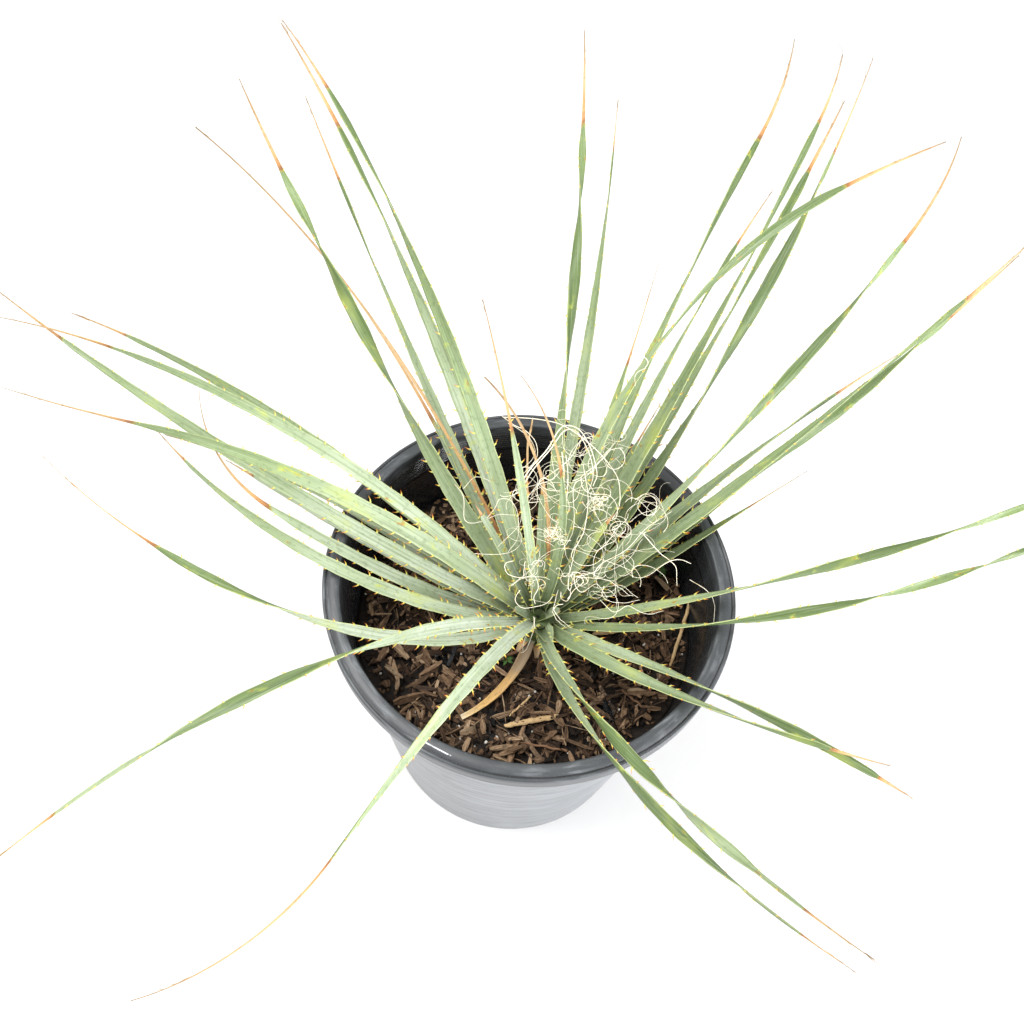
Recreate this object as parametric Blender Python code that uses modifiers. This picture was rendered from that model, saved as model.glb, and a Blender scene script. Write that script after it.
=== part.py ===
"""Potted desert spoon: a rosette of toothed, twisting leaves in a black nursery pot.

Metres, +Z up. The origin is the middle of the pot's underside, and -Y is the side that
faces the viewer. Each leaf is one thin blade with its teeth and its dried tip, seated on
a short round crown that stands in a plain hole in the soil.
"""

import math
import random
from typing import NamedTuple

import bmesh
import bpy
import numpy as np
from mathutils import Matrix, Vector

OBJECT_NAME = "potted_desert_spoon"
GAP = 0.0003
CREASE_DEGREES = 35

# Pot
POT_HEIGHT = 0.279
RIM_RADIUS = 0.1524
RIM_WIDTH = 0.0124
RIM_EDGE = 0.001
RIM_BEVEL = 0.0015
LIP_HEIGHT = 0.013
LIP_TAPER = 0.0004
LEDGE_DEPTH = 0.007
BASE_RADIUS = 0.115
WALL = 0.0022
FLOOR = 0.003
CORNER = 0.003
POT_SIDES = 48
RIB_COUNT = 4
RIB_DEPTH = 0.0009
RIB_PITCH = 0.004
RIBS_END = 0.008
DRAIN_COUNT = 6
DRAIN_SIDES = 12
DRAIN_RADIUS = 0.007
DRAIN_CIRCLE = 0.078

# Soil
SOIL_DEPTH_BELOW_RIM = 0.070
SOIL_LEVEL = POT_HEIGHT - SOIL_DEPTH_BELOW_RIM
SOIL_WAVE = 0.0025
SOIL_LEVEL_REACH = 0.03
SOIL_RINGS = 9
SOIL_SHOULDER = 0.004
CHIP_COUNT = 64
CHIP_LENGTHS = (0.012, 0.030)
CHIP_WIDTHS = (0.003, 0.006)
CHIP_THICKNESS = 0.0035
CHIP_SLOPE = 9
CHIP_ROLL = 25
CHIP_WALL_GAP = 0.002
CHIP_CROWN_GAP = 0.026

# Crown
HEART = Vector((0.010, -0.010, SOIL_LEVEL + 0.018))
CROWN_RADIUS = 0.018
STUMP_RADIUS = 0.009
STUMP_DEPTH = 0.026
CROWN_SIDES = 16
CROWN_ROWS = 9
SCALE_DEPTH = 0.0004
SCALE_ROWS = 5
SCALES_AROUND = 8

# Leaves
BLADE_THICKNESS = 0.0008
BLADE_ROWS = 10
TWIST_PER_ROW = 120
TWIST_UNTIL = 0.8
PATH_STEPS = 61
ROOT_SHARE = 0.50
ROOT_REACH = 0.10
GREEN_TAPER = 0.55
DRY_TAPER = 0.75
ALL_DRY_FROM = 0.8
ALL_DRY_TAPER = 0.6
TIP_WIDTH = 0.0012
KEEL = 0.14
LIFT_REACH = 0.05
TEETH_FROM = 0.10
TEETH_TO = 0.74
TOOTH_BASE = 0.0028
TOOTH_LENGTH = 0.0030
TOOTH_LEAN = 0.0022


class Leaf(NamedTuple):
    """One leaf: angles in degrees, sizes in metres, shares of the leaf's own length."""

    turn: float  # heading at the root, from +X towards +Y
    rise: float  # climb of the blade above level, once it is clear of the crown
    lift: float  # how much flatter the climb starts at the root
    length: float
    droop: float  # how much of the climb is lost at the tip
    sweep: float  # how far the heading swings by the tip
    hook: float  # how much more it swings in the dried end alone
    twist: float  # how far the blade would turn about its own length by the tip
    width: float
    dry: float  # share of the length that has dried, at the tip


LEAVES = {
    "leaf_01": Leaf(141, 42, 13, 0.46, 30, -20, 0, 640, 0.0125, 0.19),
    "leaf_02": Leaf(124, 44, -2, 0.47, 28, 4, 0, 260, 0.0120, 0.20),
    "leaf_03": Leaf(124, 54, 0, 0.465, 44, 6, 0, 240, 0.0110, 0.14),
    "leaf_04": Leaf(129, 34, 10, 0.46, 26, -12, 0, -180, 0.0110, 0.20),
    "leaf_05": Leaf(127, 33, -5, 0.46, 26, 18, 0, 90, 0.0060, 0.90),
    "leaf_06": Leaf(126, 29, 14, 0.35, 36, 2, 0, 90, 0.0110, 0.55),
    "leaf_07": Leaf(114, 36, 5, 0.18, 20, 12, 0, 90, 0.0100, 0.10),
    "leaf_08": Leaf(136, 78, 0, 0.27, 12, 0, 0, 60, 0.0080, 0.35),
    "leaf_09": Leaf(81, 64, 0, 0.19, 34, 74, 0, 60, 0.0070, 0.80),
    "leaf_10": Leaf(58, 75, 0, 0.20, 34, 96, 0, 60, 0.0080, 0.40),
    "leaf_11": Leaf(89, 42, -4, 0.46, 30, 6, 0, 620, 0.0110, 0.20),
    "leaf_12": Leaf(84, 33, 8, 0.46, 30, 6, 0, 165, 0.0100, 0.15),
    "leaf_13": Leaf(69, 49, -2, 0.46, 32, -5, 20, 230, 0.0110, 0.19),
    "leaf_14": Leaf(54, 50, 5, 0.46, 32, 16, 10, 200, 0.0110, 0.13),
    "leaf_15": Leaf(48, 48, 25, 0.47, 24, 25, 0, 450, 0.0120, 0.17),
    "leaf_16": Leaf(56, 41, 13, 0.46, 26, 12, 0, 250, 0.0120, 0.16),
    "leaf_17": Leaf(68, 31, 11, 0.42, 30, -4, 0, 200, 0.0100, 0.18),
    "leaf_18": Leaf(81, 59, 0, 0.45, 52, -66, 15, 250, 0.0110, 0.17),
    "leaf_19": Leaf(35, 45, 12, 0.47, 32, 24, 15, 550, 0.0105, 0.22),
    "leaf_20": Leaf(38, 36, 19, 0.34, 30, 0, 0, 160, 0.0120, 0.20),
    "leaf_21": Leaf(28, 38, 12, 0.46, 26, 19, 0, 185, 0.0110, 0.18),
    "leaf_22": Leaf(31, 32, 20, 0.46, 20, 16, 0, 470, 0.0130, 0.18),
    "leaf_23": Leaf(25, 40, 33, 0.22, 20, 8, 0, 90, 0.0100, 0.25),
    "leaf_24": Leaf(-2, 32, 6, 0.42, 34, 33, 0, 520, 0.0085, 0.12),
    "leaf_25": Leaf(-13, 30, 9, 0.42, 20, 46, 0, 820, 0.0080, 0.10),
    "leaf_26": Leaf(-31, 31, 6, 0.27, 38, 5, 0, 260, 0.0100, 0.08),
    "leaf_27": Leaf(-46, 33, 4, 0.26, 40, 40, 0, 160, 0.0115, 0.15),
    "leaf_28": Leaf(-78, 42, 4, 0.33, 40, 48, 0, 640, 0.0095, 0.12),
    "leaf_29": Leaf(-78, 34, 6, 0.32, 26, 48, 0, 410, 0.0090, 0.10),
    "leaf_30": Leaf(-109, 56, 0, 0.41, 72, -8, -45, 190, 0.0100, 0.25),
    "leaf_31": Leaf(-136, 56, 8, 0.41, 76, 0, 0, 490, 0.0090, 0.10),
    "leaf_32": Leaf(-148, 33, 24, 0.37, 8, -66, 0, 430, 0.0095, 0.25),
    "leaf_33": Leaf(178, 34, 4, 0.45, 30, -30, 0, 110, 0.0105, 0.15),
    "leaf_34": Leaf(153, 29, 6, 0.41, 28, 11, 0, 130, 0.0105, 0.12),
    "leaf_35": Leaf(158, 38, 1, 0.43, 39, 16, 0, 140, 0.0100, 0.19),
    "leaf_36": Leaf(169, 41, 0, 0.415, 54, 10, -20, 160, 0.0120, 0.25),
    "leaf_37": Leaf(164, 30, 3, 0.30, 34, 4, 0, 90, 0.0090, 0.25),
    "leaf_38": Leaf(-178, 32, 22, 0.31, 4, -25, -60, 100, 0.0110, 0.34),
    "leaf_39": Leaf(-167, 28, 12, 0.31, 19, -54, 0, 120, 0.0100, 0.10),
    "leaf_40": Leaf(174, 30, 12, 0.25, 26, -18, 0, 120, 0.0100, 0.10),
    "leaf_41": Leaf(163, 36, 24, 0.23, 34, 0, 0, 120, 0.0110, 0.25),
    "leaf_42": Leaf(72, 44, 6, 0.27, 14, 6, 0, 120, 0.0110, 0.30),
    "leaf_43": Leaf(42, 64, 0, 0.10, 10, 0, 0, 40, 0.0120, 0.10),
    "leaf_44": Leaf(62, 46, 12, 0.175, 20, 0, 0, 60, 0.0080, 0.20),
    "leaf_45": Leaf(150, 62, 0, 0.105, 10, 0, 0, 40, 0.0080, 0.10),
    "leaf_46": Leaf(102, 70, 0, 0.11, 10, 0, 0, 40, 0.0080, 0.10),
}
DEAD_LEAF = Leaf(-104, -11, 0, 0.08, -8, -44, 0, 20, 0.0120, 1.00)


def clear_scene():
    """Empty the startup scene."""
    for old in list(bpy.data.objects):
        bpy.data.objects.remove(old, do_unlink=True)


def new_collection(name):
    """A collection linked to the scene."""
    collection = bpy.data.collections.new(name)
    bpy.context.scene.collection.children.link(collection)
    return collection


def material(name, colour, roughness, metallic=0.0):
    """A plain Principled material."""
    made = bpy.data.materials.new(name)
    made.use_nodes = True
    shader = made.node_tree.nodes["Principled BSDF"]
    shader.inputs["Base Color"].default_value = (*colour, 1.0)
    shader.inputs["Roughness"].default_value = roughness
    shader.inputs["Metallic"].default_value = metallic
    made.diffuse_color = (*colour, 1.0)
    return made


def add_object(name, mesh, collection, finish=None):
    """An object for a mesh, in a collection, with its material."""
    made = bpy.data.objects.new(name, mesh)
    collection.objects.link(made)
    if finish:
        mesh.materials.append(finish)
    return made


def add_cutter(name, mesh, cutters):
    """A helper solid that only cuts, and is never shown."""
    cutter = add_object(name, mesh, cutters)
    cutter.hide_render = True
    cutter.display_type = "WIRE"
    return cutter


def apply_modifiers(thing):
    """Replace the object's mesh by what its modifiers make of it."""
    bpy.context.view_layer.update()
    graph = bpy.context.evaluated_depsgraph_get()
    made = bpy.data.meshes.new_from_object(thing.evaluated_get(graph))
    thing.modifiers.clear()
    thing.data = made


def shade_round(mesh):
    """Shade the mesh smooth except over its sharp corners."""
    mesh.shade_smooth()
    mesh.set_sharp_from_angle(angle=math.radians(CREASE_DEGREES))


def turned(name, profile, sides, collection, finish):
    """A solid turned about Z from a closed (radius, height) profile."""
    mesh = bpy.data.meshes.new(name)
    points = [(radius, 0.0, height) for radius, height in profile]
    edges = [(i, i + 1) for i in range(len(points) - 1)]
    mesh.from_pydata(points, edges, [])
    made = add_object(name, mesh, collection, finish)
    screw = made.modifiers.new("turn", "SCREW")
    screw.axis = "Z"
    screw.steps = screw.render_steps = sides
    screw.use_merge_vertices = True
    screw.merge_threshold = 0.00001
    apply_modifiers(made)
    shade_round(made.data)
    return made


def outer_wall(height):
    """Radius of the pot's tapered outer wall at a height."""
    top = RIM_RADIUS - RIM_WIDTH + WALL
    return BASE_RADIUS + (top - BASE_RADIUS) * height / POT_HEIGHT


def inner_wall(height):
    """Radius of the pot's tapered inner wall at a height."""
    return outer_wall(height) - WALL


def build_pot(collection, cutters, finish):
    """The thin tapered pot, its rolled rim, the ribs below it and its drain holes."""
    lip_foot = POT_HEIGHT - LIP_HEIGHT
    under_rim = POT_HEIGHT - WALL
    profile = [
        (RIM_RADIUS - RIM_EDGE, POT_HEIGHT),
        (RIM_RADIUS, POT_HEIGHT - RIM_EDGE),
        (RIM_RADIUS - LIP_TAPER, lip_foot),
        (RIM_RADIUS - WALL, lip_foot),
        (RIM_RADIUS - WALL, under_rim),
        (outer_wall(under_rim), under_rim),
        (outer_wall(CORNER), CORNER),
        (BASE_RADIUS - CORNER, 0.0),
        (0.0, 0.0),
    ]
    profile += [(0.0, FLOOR), (inner_wall(FLOOR), FLOOR)]
    foot_of_ribs = POT_HEIGHT - RIBS_END - RIB_COUNT * RIB_PITCH
    for rib in range(RIB_COUNT):
        low = foot_of_ribs + rib * RIB_PITCH
        profile.append((inner_wall(low), low))
        profile.append((inner_wall(low) - RIB_DEPTH, low + RIB_PITCH * 0.5))
    ledge = POT_HEIGHT - LEDGE_DEPTH
    profile.append((inner_wall(ledge), ledge))
    profile.append((RIM_RADIUS - RIM_WIDTH, POT_HEIGHT - RIM_BEVEL))
    profile.append((RIM_RADIUS - RIM_WIDTH + RIM_BEVEL, POT_HEIGHT))
    profile.append(profile[0])
    pot = turned("pot", profile, POT_SIDES, collection, finish)
    drill = bmesh.new()
    for hole in range(DRAIN_COUNT):
        angle = 2 * math.pi * (hole + 0.5) / DRAIN_COUNT
        place = Matrix.Translation(
            (DRAIN_CIRCLE * math.cos(angle), DRAIN_CIRCLE * math.sin(angle), FLOOR / 2)
        )
        bmesh.ops.create_cone(
            drill,
            cap_ends=True,
            segments=DRAIN_SIDES,
            radius1=DRAIN_RADIUS,
            radius2=DRAIN_RADIUS,
            depth=FLOOR * 3,
            matrix=place,
        )
    mesh = bpy.data.meshes.new("drain_drill")
    drill.to_mesh(mesh)
    drill.free()
    cut = pot.modifiers.new("drain holes", "BOOLEAN")
    cut.operation = "DIFFERENCE"
    cut.object = add_cutter("drain_drill", mesh, cutters)
    return pot


def soil_relief(x, y):
    """Height of the soil's gentle mounds over its mean level."""
    from_crown = math.hypot(x - HEART.x, y - HEART.y)
    level_by_crown = 1 - math.exp(-((from_crown / SOIL_LEVEL_REACH) ** 2))
    waves = math.sin(61 * x + 1.3) * math.cos(53 * y - 0.4) + 0.5 * math.sin(97 * x - 83 * y)
    return SOIL_WAVE * 0.5 * waves * level_by_crown


def chip_mesh(shape, rng):
    """Add one splinter of bark, lying half sunk in the soil's surface."""
    length = rng.uniform(*CHIP_LENGTHS)
    width = rng.uniform(*CHIP_WIDTHS)
    reach = inner_wall(SOIL_LEVEL) - length * 0.55 - CHIP_WALL_GAP
    while True:
        radius = reach * math.sqrt(rng.random())
        angle = rng.uniform(0, 2 * math.pi)
        x, y = radius * math.cos(angle), radius * math.sin(angle)
        if math.hypot(x - HEART.x, y - HEART.y) > CHIP_CROWN_GAP + length / 2:
            break
    place = (
        Matrix.Translation((x, y, SOIL_LEVEL + soil_relief(x, y)))
        @ Matrix.Rotation(rng.uniform(0, math.pi), 4, "Z")
        @ Matrix.Rotation(math.radians(rng.uniform(-CHIP_SLOPE, CHIP_SLOPE)), 4, "Y")
        @ Matrix.Rotation(math.radians(rng.uniform(-CHIP_ROLL, CHIP_ROLL)), 4, "X")
        @ Matrix.Diagonal((length, width, CHIP_THICKNESS, 1.0))
    )
    made = bmesh.ops.create_cube(shape, size=1.0)["verts"]
    for vert in made:
        narrow = 0.45 if vert.co.x > 0 else 0.8
        vert.co.y *= narrow + (0.2 if vert.co.z < 0 else 0.0)
    bmesh.ops.transform(shape, matrix=place, verts=made)


def build_soil(collection, cutters, finish):
    """The potting mix that fills the pot, its bark splinters, and the crown's hole."""
    profile = [(0.0, SOIL_LEVEL)]
    rim = inner_wall(SOIL_LEVEL) - GAP
    profile += [(rim * ring / SOIL_RINGS, SOIL_LEVEL) for ring in range(1, SOIL_RINGS)]
    shoulder = SOIL_LEVEL - SOIL_SHOULDER
    profile += [(rim - GAP, SOIL_LEVEL), (inner_wall(shoulder) - GAP, shoulder)]
    profile += [(inner_wall(FLOOR + GAP) - GAP, FLOOR + GAP), (0.0, FLOOR + GAP)]
    soil = turned("soil", profile, POT_SIDES, collection, finish)
    for vert in soil.data.vertices:
        if vert.co.z > SOIL_LEVEL - 0.0001:
            vert.co.z += soil_relief(vert.co.x, vert.co.y)
    rng = random.Random(7)
    pieces = bpy.data.collections.new("bark")
    bpy.context.scene.collection.children.link(pieces)
    for number in range(CHIP_COUNT):
        shape = bmesh.new()
        chip_mesh(shape, rng)
        mesh = bpy.data.meshes.new(f"bark_{number}")
        shape.to_mesh(mesh)
        shape.free()
        add_object(f"bark_{number}", mesh, pieces)
    join = soil.modifiers.new("bark", "BOOLEAN")
    join.operation = "UNION"
    join.operand_type = "COLLECTION"
    join.collection = pieces
    apply_modifiers(soil)
    for chip in list(pieces.objects):
        bpy.data.objects.remove(chip, do_unlink=True)
    bpy.data.collections.remove(pieces)
    drill = bmesh.new()
    bmesh.ops.create_cone(
        drill,
        cap_ends=True,
        segments=CROWN_SIDES,
        radius1=STUMP_RADIUS + GAP,
        radius2=STUMP_RADIUS + GAP,
        depth=2 * (STUMP_DEPTH + GAP),
        matrix=Matrix.Translation((HEART.x, HEART.y, SOIL_LEVEL)),
    )
    mesh = bpy.data.meshes.new("crown_drill")
    drill.to_mesh(mesh)
    drill.free()
    cut = soil.modifiers.new("crown hole", "BOOLEAN")
    cut.operation = "DIFFERENCE"
    cut.object = add_cutter("crown_drill", mesh, cutters)
    return soil


def build_crown(collection, finish):
    """The short round crown, scored by the scales of old leaf bases."""
    foot = SOIL_LEVEL - STUMP_DEPTH - HEART.z
    neck = -math.sqrt(CROWN_RADIUS**2 - STUMP_RADIUS**2)
    start = math.asin(neck / CROWN_RADIUS)
    profile = [(0.0, CROWN_RADIUS)]
    for row in range(1, CROWN_ROWS):
        angle = math.pi / 2 + (start - math.pi / 2) * row / (CROWN_ROWS - 1)
        profile.append((CROWN_RADIUS * math.cos(angle), CROWN_RADIUS * math.sin(angle)))
    profile += [(STUMP_RADIUS, foot), (0.0, foot)]
    crown = turned("crown", profile, CROWN_SIDES, collection, finish)
    for vert in crown.data.vertices:
        radius = math.hypot(vert.co.x, vert.co.y)
        if radius < 0.001 or vert.co.z < neck + 0.0001:
            continue
        spiral = SCALES_AROUND * math.atan2(vert.co.y, vert.co.x) / (2 * math.pi)
        rows = SCALE_ROWS * vert.co.z / CROWN_RADIUS
        vert.co *= 1 - SCALE_DEPTH / CROWN_RADIUS * ((spiral + rows) % 1.0)
    crown.location = HEART
    return crown


def blade_width(leaf, share):
    """Width of the blade at a share of its length: narrow root, strap, thin dry tip."""
    root = ROOT_SHARE + (1 - ROOT_SHARE) * min(1.0, share / ROOT_REACH) ** 0.7
    green = 1 - leaf.dry
    if leaf.dry >= ALL_DRY_FROM:
        taper = 1 - ALL_DRY_TAPER * share
    elif share < green:
        taper = 1 - GREEN_TAPER * (share / green) ** 2.2
    else:
        taper = (1 - GREEN_TAPER) * (1 - DRY_TAPER * (share - green) / leaf.dry)
    return max(TIP_WIDTH, leaf.width * root * taper)


def middle_line(leaf, shares):
    """Points and unit directions along the leaf: it climbs, leans over and swings."""
    steps = np.linspace(0.0, 1.0, PATH_STEPS)
    flatter = leaf.lift * np.exp(-steps * leaf.length / LIFT_REACH)
    climb = np.radians(leaf.rise - flatter - leaf.droop * steps**1.5)
    dried = np.clip((steps - 1 + leaf.dry) / leaf.dry, 0.0, 1.0)
    heading = np.radians(leaf.turn + leaf.sweep * steps + leaf.hook * dried)
    ways = np.stack(
        [np.cos(climb) * np.cos(heading), np.cos(climb) * np.sin(heading), np.sin(climb)], axis=1
    )
    run = np.cumsum((ways[1:] + ways[:-1]) / 2, axis=0) * leaf.length / (len(steps) - 1)
    line = np.vstack([np.zeros(3), run]) + np.array(HEART) + ways[0] * (CROWN_RADIUS + GAP)
    points = np.stack([np.interp(shares, steps, line[:, k]) for k in range(3)], axis=1)
    along = np.stack([np.interp(shares, steps, ways[:, k]) for k in range(3)], axis=1)
    return points, along / np.linalg.norm(along, axis=1)[:, None]


def blade_frames(leaf, shares):
    """Middle points with the blade's crosswise and upward directions, twisted ever faster."""
    points, along = middle_line(leaf, shares)
    across = np.cross(along, (0.0, 0.0, 1.0))
    across /= np.linalg.norm(across, axis=1)[:, None]
    above = np.cross(across, along)
    tilt = np.radians(leaf.twist * np.minimum(shares, TWIST_UNTIL) ** 2)[:, None]
    turned_across = across * np.cos(tilt) + above * np.sin(tilt)
    return points, turned_across, above * np.cos(tilt) - across * np.sin(tilt)


def build_leaf(name, leaf, collection, finish):
    """One thin keeled blade with hooked teeth; the more it twists, the more rows it has."""
    count = BLADE_ROWS + int(abs(leaf.twist) / TWIST_PER_ROW)
    shares = [row / (count - 1) for row in range(count)]
    points, across, above = blade_frames(leaf, shares)
    shape = bmesh.new()
    rows = []
    for row, share in enumerate(shares):
        half = blade_width(leaf, share) / 2
        rib = Vector(points[row] - above[row] * KEEL * half)
        edge_a = Vector(points[row] + across[row] * half + above[row] * KEEL * half)
        edge_b = Vector(points[row] - across[row] * half + above[row] * KEEL * half)
        rows.append((shape.verts.new(edge_a), shape.verts.new(rib), shape.verts.new(edge_b)))
    for row in range(count - 1):
        toothed = TEETH_FROM <= shares[row] <= TEETH_TO and shares[row] < 1 - leaf.dry
        for side, outward in ((0, 1), (2, -1)):
            start, end = rows[row][side], rows[row + 1][side]
            rib, next_rib = rows[row][1], rows[row + 1][1]
            if toothed:
                run = end.co - start.co
                front = shape.verts.new(start.co + run * (TOOTH_BASE / run.length))
                out = Vector(across[row]) * outward * TOOTH_LENGTH
                forward = run.normalized() * (TOOTH_BASE / 2 + TOOTH_LEAN)
                point = shape.verts.new(start.co + out + forward)
                strip = [(rib, start, front), (rib, front, next_rib), (front, end, next_rib)]
                strip.append((start, point, front))
            else:
                strip = [(rib, start, end), (rib, end, next_rib)]
            for corners in strip:
                shape.faces.new(corners if side == 0 else corners[::-1])
    mesh = bpy.data.meshes.new(name)
    shape.to_mesh(mesh)
    shape.free()
    shade_round(mesh)
    made = add_object(name, mesh, collection, finish)
    shell = made.modifiers.new("thickness", "SOLIDIFY")
    shell.thickness = BLADE_THICKNESS
    shell.offset = 0.0
    return made


def main():
    """Build the pot, the soil, the crown and the leaves."""
    clear_scene()
    parts = new_collection(OBJECT_NAME)
    cutters = new_collection("cutters")
    build_pot(parts, cutters, material("black_plastic", (0.030, 0.031, 0.034), 0.45))
    build_soil(parts, cutters, material("bark_soil", (0.085, 0.050, 0.032), 0.95))
    build_crown(parts, material("crown_bark", (0.12, 0.13, 0.06), 0.8))
    green = material("leaf_green", (0.33, 0.42, 0.25), 0.55)
    dried = material("dry_leaf", (0.62, 0.42, 0.20), 0.75)
    for name, leaf in LEAVES.items():
        build_leaf(name, leaf, parts, dried if leaf.dry > 0.7 else green)
    build_leaf("dead_leaf", DEAD_LEAF, parts, dried)


main()
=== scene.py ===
"""The finished look of a desert spoon in a nursery pot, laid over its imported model."""

import logging
import math
from collections.abc import Sequence
from dataclasses import dataclass, field
from enum import Enum

import bmesh
import bpy
import numpy as np
from mathutils import Matrix, Vector


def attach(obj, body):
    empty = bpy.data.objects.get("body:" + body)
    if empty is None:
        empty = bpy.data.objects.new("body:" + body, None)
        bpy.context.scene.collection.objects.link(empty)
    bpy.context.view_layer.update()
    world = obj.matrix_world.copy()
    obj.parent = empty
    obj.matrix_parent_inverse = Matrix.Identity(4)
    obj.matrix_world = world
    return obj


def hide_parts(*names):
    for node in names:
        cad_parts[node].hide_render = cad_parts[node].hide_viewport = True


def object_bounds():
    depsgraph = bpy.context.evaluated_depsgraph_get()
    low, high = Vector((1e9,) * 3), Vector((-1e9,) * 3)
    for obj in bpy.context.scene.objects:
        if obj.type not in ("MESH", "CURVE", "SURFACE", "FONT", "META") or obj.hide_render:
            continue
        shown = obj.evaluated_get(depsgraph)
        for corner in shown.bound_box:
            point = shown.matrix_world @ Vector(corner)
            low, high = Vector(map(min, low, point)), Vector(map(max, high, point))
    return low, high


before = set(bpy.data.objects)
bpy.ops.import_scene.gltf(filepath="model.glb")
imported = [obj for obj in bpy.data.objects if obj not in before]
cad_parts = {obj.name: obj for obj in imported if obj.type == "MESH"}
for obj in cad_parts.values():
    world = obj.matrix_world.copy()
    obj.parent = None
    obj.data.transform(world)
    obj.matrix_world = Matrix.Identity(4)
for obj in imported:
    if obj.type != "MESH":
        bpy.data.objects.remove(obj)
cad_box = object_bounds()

LOG = logging.getLogger("desert_spoon")
BODY = "root"
POT_HEIGHT = 0.279
SOIL_LEVEL = 0.209
HEART = np.array((0.010, -0.010, 0.227))
CROWN_RADIUS = 0.018
SEAT_GAP = 0.0003
UP = np.array((0.0, 0.0, 1.0))
LEVEL = np.array((1.0, 1.0, 0.0))
BOX_MARGIN = 1e-5
WELD_REACH = 1e-6
SHORTEST = 1e-9

Colour = tuple[float, float, float, float]
Vec = tuple[float, float, float]
Stops = tuple[tuple[float, Colour], ...]
Numbers = np.ndarray | float


def screen(red: int, green: int, blue: int) -> Colour:
    """Turns a colour as a screen shows it, 0 to 255, into the linear one that shaders use."""
    parts = [c / 255 for c in (red, green, blue)]
    linear = [c / 12.92 if c < 0.04045 else ((c + 0.055) / 1.055) ** 2.4 for c in parts]
    return (linear[0], linear[1], linear[2], 1.0)


def stops(*rows: tuple[float, int, int, int]) -> Stops:
    """Returns a colour ramp's stops from rows of place, red, green and blue."""
    return tuple((place, screen(*tone)) for place, *tone in rows)


class Wire:
    """One value in a shader tree, on which arithmetic adds Math nodes."""

    def __init__(self, tree: "Tree", socket: bpy.types.NodeSocket) -> None:
        """Keeps the tree and the output socket that the value comes from."""
        self.tree = tree
        self.socket = socket

    def math(self, operation: str, *values: "Wire | float") -> "Wire":
        """Adds one Math node on these values."""
        return self.tree.add("ShaderNodeMath", {"operation": operation}, dict(enumerate(values)))

    def __add__(self, other: "Wire | float") -> "Wire":
        """Returns the sum."""
        return self.math("ADD", self, other)

    __radd__ = __add__

    def __sub__(self, other: "Wire | float") -> "Wire":
        """Returns this less the other."""
        return self.math("SUBTRACT", self, other)

    def __rsub__(self, other: float) -> "Wire":
        """Returns the other less this."""
        return self.math("SUBTRACT", other, self)

    def __mul__(self, other: "Wire | float") -> "Wire":
        """Returns the product."""
        return self.math("MULTIPLY", self, other)

    __rmul__ = __mul__

    def step(self, low: float, high: float) -> "Wire":
        """Returns 0 below low and 1 above high, with a smooth rise between; high may be the lower one."""
        sockets = {"Value": self, "From Min": low, "From Max": high}
        return self.tree.add("ShaderNodeMapRange", {"interpolation_type": "SMOOTHSTEP"}, sockets)


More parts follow.
